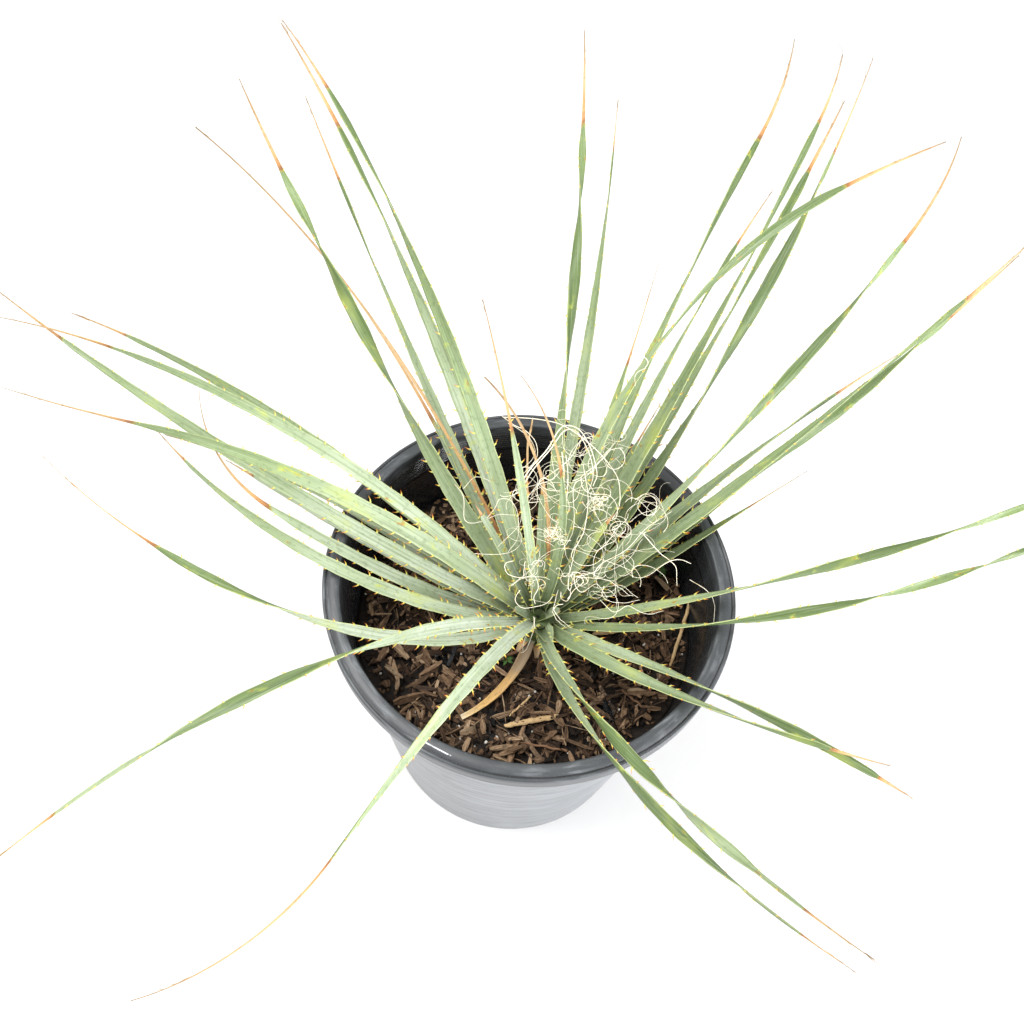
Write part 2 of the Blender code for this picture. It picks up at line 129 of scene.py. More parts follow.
class Tree:
    """A material's shader tree, with one method that adds any node."""

    def __init__(self, name: str) -> None:
        """Makes the material and empties its tree."""
        self.material = bpy.data.materials.new(name)
        self.material.use_nodes = True
        self.nodes = self.material.node_tree.nodes
        self.nodes.clear()

    def add(
        self,
        kind: str,
        settings: dict[str, object] | None = None,
        values: dict[str | int, object] | None = None,
        output: str | int = 0,
    ) -> Wire:
        """Adds a node.

        Args:
            kind: the node's type.
            settings: its own settings, set first; "stops" gives a colour ramp's stops.
            values: the values or wires of its sockets, by name or place.
            output: the output that the returned wire comes from.

        Returns:
            The wire of that output.
        """
        node = self.nodes.new(kind)
        for key, value in (settings or {}).items():
            if key == "stops":
                self._set_stops(node.color_ramp, value)
            else:
                setattr(node, key, value)
        for key, value in (values or {}).items():
            socket = node.inputs[key]
            if isinstance(value, Wire):
                self.material.node_tree.links.new(value.socket, socket)
            else:
                socket.default_value = value
        return Wire(self, node.outputs[output] if node.outputs else None)

    @staticmethod
    def _set_stops(ramp: bpy.types.ColorRamp, row: Stops) -> None:
        """Gives a colour ramp its stops, place and colour."""
        while len(ramp.elements) < len(row):
            ramp.elements.new(1.0)
        for element, (place, colour) in zip(ramp.elements, row):
            element.position = place
            element.color = colour

    def mark(self, name: str) -> Wire:
        """Returns the vector that a mesh holds in one of its point attributes."""
        return self.add("ShaderNodeAttribute", {"attribute_name": name}, output="Vector")

    def place(self) -> Wire:
        """Returns the Object coordinates, in metres."""
        return self.add("ShaderNodeTexCoord", output="Object")

    def split(self, vector: Wire) -> list[Wire]:
        """Returns a vector's three parts."""
        first = self.add("ShaderNodeSeparateXYZ", values={0: vector})
        return [Wire(self, socket) for socket in first.socket.node.outputs]

    def mixed(self, share: Wire | float, first: Wire | Colour, second: Wire | Colour) -> Wire:
        """Returns one colour mixed into another by a share."""
        settings = {"data_type": "RGBA", "clamp_factor": True}
        return self.add("ShaderNodeMix", settings, {0: share, 6: first, 7: second}, output=2)

    def layered(self, base: Wire | Colour, *layers: tuple[Wire | float, Wire | Colour]) -> Wire:
        """Lays colours over a base one after another, each by its share."""
        for share, colour in layers:
            base = self.mixed(share, base, colour)
        return base

    def ramp(self, value: Wire, row: Stops) -> Wire:
        """Returns the colour that a value has on a row of stops."""
        return self.add("ShaderNodeValToRGB", {"stops": row}, {0: value})

    def shaded(
        self,
        colour: Wire,
        roughness: Wire | float,
        height: Wire,
        depth: float,
        **fixed: float,
    ) -> bpy.types.Material:
        """Ends the tree in one principled shader.

        Args:
            colour: the base colour.
            roughness: the roughness.
            height: the bump's height, 0 to 1.
            depth: the height that 1 stands for, in metres.
            **fixed: the shader's other sockets, by name with _ for a space.

        Returns:
            The finished material.
        """
        bump = self.add("ShaderNodeBump", values={"Strength": 1.0, "Distance": depth, "Height": height})
        values = {"Base Color": colour, "Roughness": roughness, "Normal": bump}
        values.update({key.replace("_", " "): value for key, value in fixed.items()})
        shader = self.add("ShaderNodeBsdfPrincipled", values=values)
        self.add("ShaderNodeOutputMaterial", values={"Surface": shader})
        return self.material


@dataclass(frozen=True)
class Pattern:
    """Smooth noise, by its scale along each axis, its detail and how far it is warped."""

    scale: Vec
    detail: float = 3.0
    warp: float = 0.0

    def on(self, vector: Wire) -> Wire:
        """Returns the noise on a vector, 0 to 1."""
        tree = vector.tree
        scaled = tree.add("ShaderNodeVectorMath", {"operation": "MULTIPLY"}, {0: vector, 1: self.scale})
        values = {"Vector": scaled, "Scale": 1.0, "Detail": self.detail, "Distortion": self.warp}
        return tree.add("ShaderNodeTexNoise", values=values)


@dataclass
class Shape:
    """One or more joined surfaces: points, faces by number of corners, and vectors marked on the points."""

    points: np.ndarray
    faces: list[np.ndarray]
    marks: dict[str, np.ndarray]

    def volume(self) -> float:
        """Returns the signed volume inside the faces, which is above 0 where they point outwards."""
        total = 0.0
        for group in self.faces:
            first = self.points[group[:, 0]]
            for corner in range(1, group.shape[1] - 1):
                normal = np.cross(self.points[group[:, corner]], self.points[group[:, corner + 1]])
                total += float((first * normal).sum())
        return total / 6

    def outward(self) -> "Shape":
        """Returns the shape with its faces pointing outwards."""
        if self.volume() >= 0:
            return self
        return Shape(self.points, [group[:, ::-1] for group in self.faces], self.marks)


def joined(shapes: Sequence[Shape]) -> Shape:
    """Puts shapes that hold the same marks together in one."""
    starts = np.cumsum([0] + [len(shape.points) for shape in shapes])
    faces = [group + start for shape, start in zip(shapes, starts) for group in shape.faces]
    marks = {name: np.concatenate([shape.marks[name] for shape in shapes]) for name in shapes[0].marks}
    return Shape(np.concatenate([shape.points for shape in shapes]), faces, marks)


def loft(rings: np.ndarray, marks: dict[str, np.ndarray]) -> Shape:
    """Closes rings of points into tubes with flat ends.

    The point of row r and side s joins those of rows r and r + 1 and sides s and s + 1, and the last side
    joins the first.

    Args:
        rings: points by tube, row, side and axis.
        marks: vectors with the same first three measures, or ones that spread to them.

    Returns:
        The tubes as one shape, facing outwards.
    """
    count, rows, sides, _ = rings.shape
    index = np.arange(count * rows * sides).reshape(count, rows, sides)
    after = np.roll(index, -1, axis=2)
    walls = np.stack([index[:, :-1], after[:, :-1], after[:, 1:], index[:, 1:]], axis=-1).reshape(-1, 4)
    ends = [index[:, 0, ::-1], index[:, -1]]
    wide = {name: np.broadcast_to(value, rings.shape).reshape(-1, 3) for name, value in marks.items()}
    return Shape(rings.reshape(-1, 3), [walls, *ends], wide).outward()


def unit(vectors: np.ndarray) -> np.ndarray:
    """Returns vectors at length one."""
    return vectors / np.maximum(np.linalg.norm(vectors, axis=-1, keepdims=True), SHORTEST)


def spread(x: Numbers, y: Numbers, z: Numbers) -> np.ndarray:
    """Returns vectors of three parts, each spread to the shape that fits all three."""
    return np.stack(np.broadcast_arrays(x, y, z), axis=-1)


def ring(angles: np.ndarray, radius: Numbers = 1.0, height: Numbers = 0.0) -> np.ndarray:
    """Returns points round an upright axis: (r cos a, r sin a, h) for each angle a."""
    return spread(radius * np.cos(angles), radius * np.sin(angles), height)


def towards(climb: np.ndarray, turn: np.ndarray) -> np.ndarray:
    """Returns directions by climb c over level and turn a from +X: (cos c cos a, cos c sin a, sin c)."""
    return ring(turn, np.cos(climb), np.sin(climb))


def rolled(side: np.ndarray, above: np.ndarray, degrees: np.ndarray) -> tuple[np.ndarray, np.ndarray]:
    """Turns pairs of directions that are square to a line about it, towards the second of each pair."""
    angle = np.radians(degrees)[:, None]
    return side * np.cos(angle) + above * np.sin(angle), above * np.cos(angle) - side * np.sin(angle)


def full_turn(count: int) -> np.ndarray:
    """Returns evenly spaced angles once round."""
    return np.linspace(0, 2 * np.pi, count, endpoint=False)


def tubes(paths: np.ndarray, radii: np.ndarray, sides: int, marks: dict[str, np.ndarray]) -> Shape:
    """Carries a round section along paths.

    The section at a path's point is that point plus its radius times cos a along one direction square to the
    path and sin a along the other, for angles a all round.

    Args:
        paths: points by tube, row and axis.
        radii: radii by tube and row.
        sides: number of sides of the section.
        marks: vectors by tube and row, or ones that spread to them.

    Returns:
        The tubes as one shape.
    """
    along = unit(np.gradient(paths, axis=1))
    first = unit(np.cross(along, (0.37, 0.61, 0.70)))
    second = np.cross(along, first)
    angles = full_turn(sides)[:, None]
    circle = first[:, :, None] * np.cos(angles) + second[:, :, None] * np.sin(angles)
    rings = paths[:, :, None] + radii[:, :, None, None] * circle
    return loft(rings, {name: np.expand_dims(value, -2) for name, value in marks.items()})


def strips(paths: np.ndarray, widths: np.ndarray, thickness: float, marks: dict[str, np.ndarray]) -> Shape:
    """Carries a flat section along paths.

    The section's corners are half the width to each level side of the path and half the thickness over and
    under it.

    Args:
        paths: points by strip, row and axis.
        widths: widths by strip and row.
        thickness: thickness of all strips.
        marks: vectors by strip and row, or ones that spread to them.

    Returns:
        The strips as one shape.
    """
    along = unit(np.gradient(paths, axis=1))
    across = unit(np.cross(along, UP))[:, :, None]
    above = np.cross(across[:, :, 0], along)[:, :, None]
    aside = np.array((-0.5, 0.5, 0.5, -0.5))[:, None]
    over = np.array((-0.5, -0.5, 0.5, 0.5))[:, None]
    rings = paths[:, :, None] + across * aside * widths[:, :, None, None] + above * over * thickness
    return loft(rings, {name: np.expand_dims(value, -2) for name, value in marks.items()})


def smooth_route(stations: np.ndarray, rows: int) -> np.ndarray:
    """Passes one smooth curve through stations.

    Between two stations the curve is the cubic whose slopes at both are half the step between their
    neighbours.

    Args:
        stations: points to pass through, in order.
        rows: number of points wanted.

    Returns:
        The curve's points.
    """
    whole = np.linspace(0, len(stations) - 1, rows)
    start = np.minimum(whole.astype(int), len(stations) - 2)
    share = (whole - start)[:, None]
    slopes = np.gradient(stations, axis=0)
    first, second = stations[start], stations[start + 1]
    square, cube = share**2, share**3
    ends = first * (2 * cube - 3 * square + 1) + second * (3 * square - 2 * cube)
    return ends + slopes[start] * (cube - 2 * square + share) + slopes[start + 1] * (cube - square)


def make_piece(
    shape: Shape,
    name: str,
    material: bpy.types.Material,
    nodes: Sequence[str] = (),
    smooth: bool = True,
    weld: bool = False,
) -> bpy.types.Object:
    """Puts a shape into the scene as one piece of the object.

    Args:
        shape: its points, faces and marks.
        name: the piece's name.
        material: its finish.
        nodes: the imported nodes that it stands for.
        smooth: whether its faces shade as one curved surface.
        weld: whether points in one place are merged and all faces turned outwards.

    Returns:
        The piece.
    """
    mesh = bpy.data.meshes.new(name)
    low, high = np.array(cad_box[0]) + BOX_MARGIN, np.array(cad_box[1]) - BOX_MARGIN
    inside = np.clip(shape.points, low, high)
    mesh.from_pydata(inside.tolist(), [], [face for group in shape.faces for face in group.tolist()])
    for mark, values in shape.marks.items():
        layer = mesh.attributes.new(mark, "FLOAT_VECTOR", "POINT")
        layer.data.foreach_set("vector", values.astype(np.float32).ravel())
    if weld:
        soft = bmesh.new()
        soft.from_mesh(mesh)
        bmesh.ops.remove_doubles(soft, verts=soft.verts, dist=WELD_REACH)
        bmesh.ops.recalc_face_normals(soft, faces=soft.faces)
        soft.to_mesh(mesh)
        soft.free()
    mesh.polygons.foreach_set("use_smooth", np.full(len(mesh.polygons), smooth))
    mesh.materials.append(material)
    piece = bpy.data.objects.new(name, mesh)
    bpy.context.scene.collection.objects.link(piece)
    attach(piece, BODY)
    if nodes:
        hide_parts(*nodes)
    LOG.info("%s: %d faces", name, len(mesh.polygons))
    return piece


@dataclass(frozen=True)
class Eye:
    """The camera that saw the plant, and the places that its pixels stand for."""

    picture: float = 1024.0
    focal: float = 900.0
    sensor: float = 36.0
    spot: Vec = (-0.01923, -0.32515, 0.86092)
    elevation: float = 56.93
    roll: float = 6.41
    nearest: float = 0.02

    def axes(self) -> np.ndarray:
        """Returns the directions to the picture's right, to its top and back to the camera, as rows."""
        rise, turn = math.radians(self.elevation), math.radians(self.roll)
        level = np.array((1.0, 0.0, 0.0))
        back = np.array((0.0, -math.cos(rise), math.sin(rise)))
        upright = np.cross(back, level)
        right = math.cos(turn) * level + math.sin(turn) * upright
        return np.stack([right, np.cross(back, right), back])

    def at_height(self, pixels: Sequence[tuple[float, float]] | np.ndarray, heights: Numbers) -> np.ndarray:
        """Finds the points that the camera sees at pixels, each where its ray reaches a height.

        Args:
            pixels: x and y in the picture, by row.
            heights: the height of each point or of all, in metres.

        Returns:
            The points.
        """
        pixels = np.array(pixels, float)
        middle = self.picture / 2
        rays = spread(pixels[:, 0] - middle, middle - pixels[:, 1], -self.focal) @ self.axes()
        return np.array(self.spot) + rays * ((heights - self.spot[2]) / rays[:, 2])[:, None]

    def make(self) -> None:
        """Adds the camera to the scene."""
        data = bpy.data.cameras.new("camera")
        data.sensor_width = self.sensor
        data.lens = self.sensor * self.focal / self.picture
        data.clip_start = self.nearest
        camera = bpy.data.objects.new("camera", data)
        turned = Matrix(self.axes().T.tolist()).to_4x4()
        camera.matrix_world = Matrix.Translation(self.spot) @ turned
        bpy.context.scene.collection.objects.link(camera)
        bpy.context.scene.camera = camera


@dataclass(frozen=True)
class Lamp:
    """One soft, square studio light."""

    name: str
    spot: Vec
    width: float
    power: float
    tone: Vec = (1.0, 1.0, 1.0)

    def make(self, target: np.ndarray) -> None:
        """Adds the light, turned towards a target."""
        data = bpy.data.lights.new(self.name, "AREA")
        data.size = self.width
        data.energy = self.power
        data.color = self.tone
        lamp = bpy.data.objects.new(self.name, data)
        lamp.location = self.spot
        way = np.array(target) - np.array(self.spot)
        lamp.rotation_mode = "QUATERNION"
        lamp.rotation_quaternion = Vector(way.tolist()).to_track_quat("-Z", "Y")
        bpy.context.scene.collection.objects.link(lamp)


@dataclass(frozen=True)
class Studio:
    """The pale floor, the even white surround and the soft lights."""

    reach: float = 60.0
    glow_near: float = 0.12
    glow_far: float = 0.42
    glow_grows: tuple[float, float] = (0.9, 3.2)
    surround: float = 1.0
    white: Colour = (1.0, 1.0, 1.0, 1.0)
    paper_dark: Colour = screen(204, 204, 204)
    paper_light: Colour = screen(208, 208, 208)
    paper_grain: Pattern = Pattern((40, 40, 40))
    paper_relief: float = 0.0001
    lamps: tuple[Lamp, ...] = (
        Lamp("key_light", (-0.9, 0.1, 2.0), 1.4, 56.0, (1.0, 0.99, 0.97)),
        Lamp("side_light", (1.5, -1.0, 0.5), 1.0, 64.0, (0.99, 0.99, 1.0)),
    )

    def make(self) -> None:
        """Adds the floor, the surround and the lights, and shows colours as they are."""
        scene = bpy.context.scene
        scene.view_settings.view_transform = "Standard"
        world = bpy.data.worlds.new("surround")
        world.use_nodes = True
        background = world.node_tree.nodes["Background"].inputs
        background["Color"].default_value = self.white
        background["Strength"].default_value = self.surround
        scene.world = world
        for lamp in self.lamps:
            lamp.make(HEART)
        mesh = bpy.data.meshes.new("floor")
        half = self.reach / 2
        corners = [(-half, -half, 0), (half, -half, 0), (half, half, 0), (-half, half, 0)]
        mesh.from_pydata(corners, [], [(0, 1, 2, 3)])
        mesh.materials.append(self.paper())
        floor = bpy.data.objects.new("floor", mesh)
        scene.collection.objects.link(floor)

    def paper(self) -> bpy.types.Material:
        """Returns the floor's matt white paper, lit from below so that it stays white far away."""
        tree = Tree("studio_paper")
        fine = self.paper_grain.on(tree.place())
        away = tree.add("ShaderNodeVectorMath", {"operation": "LENGTH"}, {0: tree.place()}, "Value")
        near, far = (self.glow_near,) * 3 + (1.0,), (self.glow_far,) * 3 + (1.0,)
        glow = tree.mixed(away.step(*self.glow_grows), near, far)
        colour = tree.mixed(fine, self.paper_dark, self.paper_light)
        return tree.shaded(colour, 0.9, fine, self.paper_relief, Emission_Color=glow, Emission_Strength=1.0)


@dataclass(frozen=True)
class PotPlastic:
    """Black nursery plastic: satin inside, scuffed blue-grey on the rim, outside a mid-grey partly of painted
    sheen, with dust and streaks.
    """

    inner: Colour = screen(34, 35, 37)
    rim: Colour = screen(54, 57, 60)
    rim_scuff: Colour = screen(112, 116, 120)
    # Painted sheen: the black plastic's outer wall is painted mid-grey, partly for its reflection of the
    # bright floor; the lighter streaks over it are dust.
    outer: Colour = screen(92, 95, 99)
    outer_dust: Colour = screen(122, 125, 129)
    scratch: Colour = screen(196, 199, 202)
    rubbing: Pattern = Pattern((6, 6, 300), 5.0, 0.6)
    speckle: Pattern = Pattern((900, 900, 900), 2.0)
    patching: Pattern = Pattern((28, 28, 28), 4.0, 0.4)
    streaking: Pattern = Pattern((1.3, 1.3, 160), 5.0, 0.3)
    filming: Pattern = Pattern((9, 9, 14), 4.0)
    breaking: Pattern = Pattern((260, 260, 260), 2.0)
    relief: float = 0.00022
    scratch_half: float = 0.00060
    scratch_fade: float = 0.0005

    def build(self, scratch_ends: np.ndarray) -> bpy.types.Material:
        """Makes the material.

        Args:
            scratch_ends: the two ends of the pale scratch on the rim.

        Returns:
            The finished material, which reads the marks lay and zone.
        """
        tree = Tree("black_plastic")
        lay, place = tree.mark("lay"), tree.place()
        on_rim, outside, _ = tree.split(tree.mark("zone"))
        rubbed, streaks, film = self.rubbing.on(lay), self.streaking.on(lay), self.filming.on(lay)
        patches = self.patching.on(place)
        specks = self.speckle.on(place).step(0.63, 0.72)
        worn = rubbed.step(0.42, 0.72) * patches.step(0.35, 0.65)
        rim = tree.mixed(worn * 0.8 + specks * 0.35, self.rim, self.rim_scuff)
        dust = streaks.step(0.40, 0.66) * 0.7 + patches.step(0.4, 0.7) * 0.3
        # Outer wall colour: a mid-grey that is partly painted sheen, with lighter dust streaks over it.
        outer = tree.mixed(dust, self.outer, self.outer_dust)
        inner = tree.mixed(film.step(0.5, 0.8) * 0.4, self.inner, self.rim)
        scratched = self._scratch(tree, *scratch_ends) * on_rim
        colour = tree.layered(inner, (outside, outer), (on_rim, rim), (scratched, self.scratch))
        roughness = 0.24 + on_rim * 0.2 + outside * 0.08 + worn * 0.12 + specks * 0.08
        height = streaks * 0.5 + rubbed * 0.3 + specks * 0.2
        return tree.shaded(colour, roughness, height, self.relief)

    def _scratch(self, tree: Tree, start: np.ndarray, end: np.ndarray) -> Wire:
        """Returns 1 on a straight, broken scratch between two points and 0 elsewhere."""
        x, y, _ = tree.split(tree.place())
        step = (end - start)[:2]
        length = float(np.hypot(*step))
        way = [float(part) for part in step / length]
        east, north = x - float(start[0]), y - float(start[1])
        forth = east * way[0] + north * way[1]
        aside = north * way[0] - east * way[1]
        broken = self.breaking.on(tree.place()).step(0.36, 0.46)
        narrow = aside.math("ABSOLUTE", aside).step(self.scratch_half, self.scratch_half / 2)
        fade = self.scratch_fade
        return narrow * forth.step(-fade, fade) * forth.step(length + fade, length - fade) * broken


@dataclass(frozen=True)
class LeafSkin:
    """Waxy grey-green leaf with fine veins, a pale margin, amber teeth and a dried tip; its wax partly
    painted sheen, with painted shade under it and at its root.
    """

    name: str = "leaf_green"
    # The leaf's own dark green, also used as painted shade on undersides and on leaves with a low tone.
    deep: Colour = screen(64, 83, 40)
    middle: Colour = screen(115, 136, 78)
    waxy: Colour = screen(197, 206, 190)
    yellow: Colour = screen(166, 176, 66)
    margin: Colour = screen(196, 204, 146)
    # Painted shade colour of the leaf roots among the bases.
    base: Colour = screen(58, 70, 30)
    freckle: Colour = screen(150, 92, 38)
    # Painted shadow colour of the crown's pit.
    hollow: Colour = screen(24, 30, 14)
    tanned: Colour = screen(120, 82, 52)
    rusty: Colour = screen(176, 118, 62)
    weathered: Colour = screen(122, 94, 66)
    straw: Stops = stops(
        (0.0, 142, 132, 60),
        (0.02, 134, 86, 46),
        (0.06, 170, 122, 74),
        (0.16, 186, 150, 98),
        (0.42, 190, 160, 118),
        (0.66, 172, 144, 104),
        (1.0, 134, 116, 96),
    )
    amber: Stops = stops(
        (0.0, 178, 188, 118),
        (0.30, 196, 190, 92),
        (0.55, 204, 150, 58),
        (0.80, 192, 92, 40),
        (1.0, 120, 44, 26),
    )
    veining: Pattern = Pattern((2600, 14, 7), 2.0)
    banding: Pattern = Pattern((700, 6, 3), 2.0)
    blotting: Pattern = Pattern((170, 60, 9), 4.0, 0.6)
    clouding: Pattern = Pattern((60, 22, 5))
    mottling: Pattern = Pattern((420, 260, 4), 3.0, 0.4)
    relief: float = 0.00018

    def build(self) -> bpy.types.Material:
        """Returns the finished material, which reads the marks grain, state and cast."""
        tree = Tree(self.name)
        grain = tree.mark("grain")
        dried, tooth, edge = tree.split(tree.mark("state"))
        tone, upper, root = tree.split(tree.mark("cast"))
        _, far, _ = tree.split(grain)
        veins, bands, blots = self.veining.on(grain), self.banding.on(grain), self.blotting.on(grain)
        clouds, mottle = self.clouding.on(grain), self.mottling.on(grain)
        inner = far.step(0.30, 0.08)
        # Wax: partly the leaf's real bloom, partly painted sheen, painted stronger on the upper face and on
        # leaves with a high tone.
        wax_and_sheen = clouds.step(0.3, 0.68) * 0.45 + 0.55
        wax_and_sheen = wax_and_sheen * (upper * 0.72 + 0.14) * (inner * 0.60 + 0.20 + tone * 0.18) * (0.35 + tone * 0.8)
        green = tree.layered(
            self.middle,
            (wax_and_sheen, self.waxy),
            # Painted shade: the underside is painted darker; the bands are the leaf's own streaks.
            ((1 - bands.step(0.3, 0.62)) * 0.35 + (1 - upper) * 0.5, self.deep),
            # Painted shade on leaves with a low tone, over the leaf's own mottling.
            (mottle.step(0.52, 0.70) * 0.30 + (1 - tone) * 0.22, self.deep),
            (blots.step(0.60, 0.76) * 0.8, self.yellow),
            (clouds.step(0.55, 0.75) * (inner * 0.4 + 0.25), self.yellow),
            (veins.step(0.52, 0.72) * 0.22, self.waxy),
            (veins.step(0.48, 0.30) * 0.30, self.deep),
            # Painted shade at the root among the bases, and a painted shadow in the crown's pit where it is
            # deepest.
            (root * 0.7, self.base),
            (root.step(1.05, 1.2), self.hollow),
            ((blots * 0.6 + mottle * 0.4).step(0.63, 0.68) * 0.75, self.freckle),
            (edge.step(0.86, 0.98) * (inner * 0.45 + 0.25), self.margin),
        )
        dying = dried + blots * 0.12 + bands * 0.06 - 0.10
        frail = tree.layered(
            tree.ramp(dying, self.straw),
            (veins.step(0.50, 0.66) * 0.35, self.tanned),
            (clouds.step(0.56, 0.70) * 0.35, self.rusty),
            (mottle.step(0.50, 0.68) * 0.4, self.weathered),
        )
        thorn = tree.ramp(tooth, self.amber)
        colour = tree.layered(green, (dying.step(-0.03, 0.008), frail), (tooth.step(0.0, 0.06), thorn))
        roughness = 0.44 + blots * 0.14 + wax_and_sheen * 0.12
        return tree.shaded(colour, roughness, veins * 0.6 + bands * 0.4, self.relief, Specular_IOR_Level=0.4)


OLD_STRAW = stops(
    (0.0, 112, 96, 74),
    (0.28, 140, 120, 92),
    (0.42, 184, 146, 88),
    (0.75, 204, 164, 98),
    (0.92, 206, 180, 132),
    (1.0, 214, 202, 176),
)


@dataclass(frozen=True)
class Bark:
    """Damp bark mulch: dark, fibrous and uneven, each splinter with a tone of its own, painted lighter the
    higher it lies.
    """

    name: str = "bark_soil"
    wet: Colour = screen(16, 11, 7)
    dark: Colour = screen(60, 43, 30)
    brown: Colour = screen(124, 98, 74)
    tan: Colour = screen(196, 172, 142)
    char: Colour = screen(16, 16, 17)
    fibring: Pattern = Pattern((120, 2600, 40), 3.0, 0.3)
    stranding: Pattern = Pattern((60, 900, 23), 2.0, 0.3)
    crumbling: Pattern = Pattern((420, 420, 420), 4.0)
    relief: float = 0.0007

    def build(self) -> bpy.types.Material:
        """Returns the finished material, which reads the marks grain and cast."""
        tree = Tree(self.name)
        grain = tree.mark("grain")
        tone, damp, charred = tree.split(tree.mark("cast"))
        fibres, strands = self.fibring.on(grain), self.stranding.on(grain)
        crumbs, burnt = self.crumbling.on(tree.place()), charred.step(0.9, 0.95)
        value = tone * 0.72 + (fibres - 0.5) * 0.9 + (strands - 0.5) * 0.6 + (crumbs - 0.5) * 0.3
        dry = tree.ramp(value, ((0.0, self.wet), (0.28, self.dark), (0.60, self.brown), (1.0, self.tan)))
        colour = tree.layered(dry, (damp * crumbs.step(0.35, 0.6), self.wet), (burnt, self.char))
        roughness = 0.92 - damp * 0.3 - burnt * 0.5
        height = fibres * 0.6 + strands * 0.4
        return tree.shaded(colour, roughness, height, self.relief, Specular_IOR_Level=0.3)


@dataclass(frozen=True)
class Fibre:
    """Dry white leaf fibre, ivory with straw-coloured stretches."""

    name: str = "white_fibre"
    light: Colour = screen(232, 226, 206)
    straw: Colour = screen(200, 180, 138)
    yellowing: Pattern = Pattern((1, 60, 11))
    hairing: Pattern = Pattern((2500, 2500, 2500), 2.0)
    relief: float = 0.00006

    def build(self) -> bpy.types.Material:
        """Returns the finished material, which reads the mark grain."""
        tree = Tree(self.name)
        stretch, hairs = self.yellowing.on(tree.mark("grain")), self.hairing.on(tree.place())
        colour = tree.mixed(stretch.step(0.5, 0.75), self.light, self.straw)
        return tree.shaded(colour, 0.62 + hairs * 0.2, hairs, self.relief)


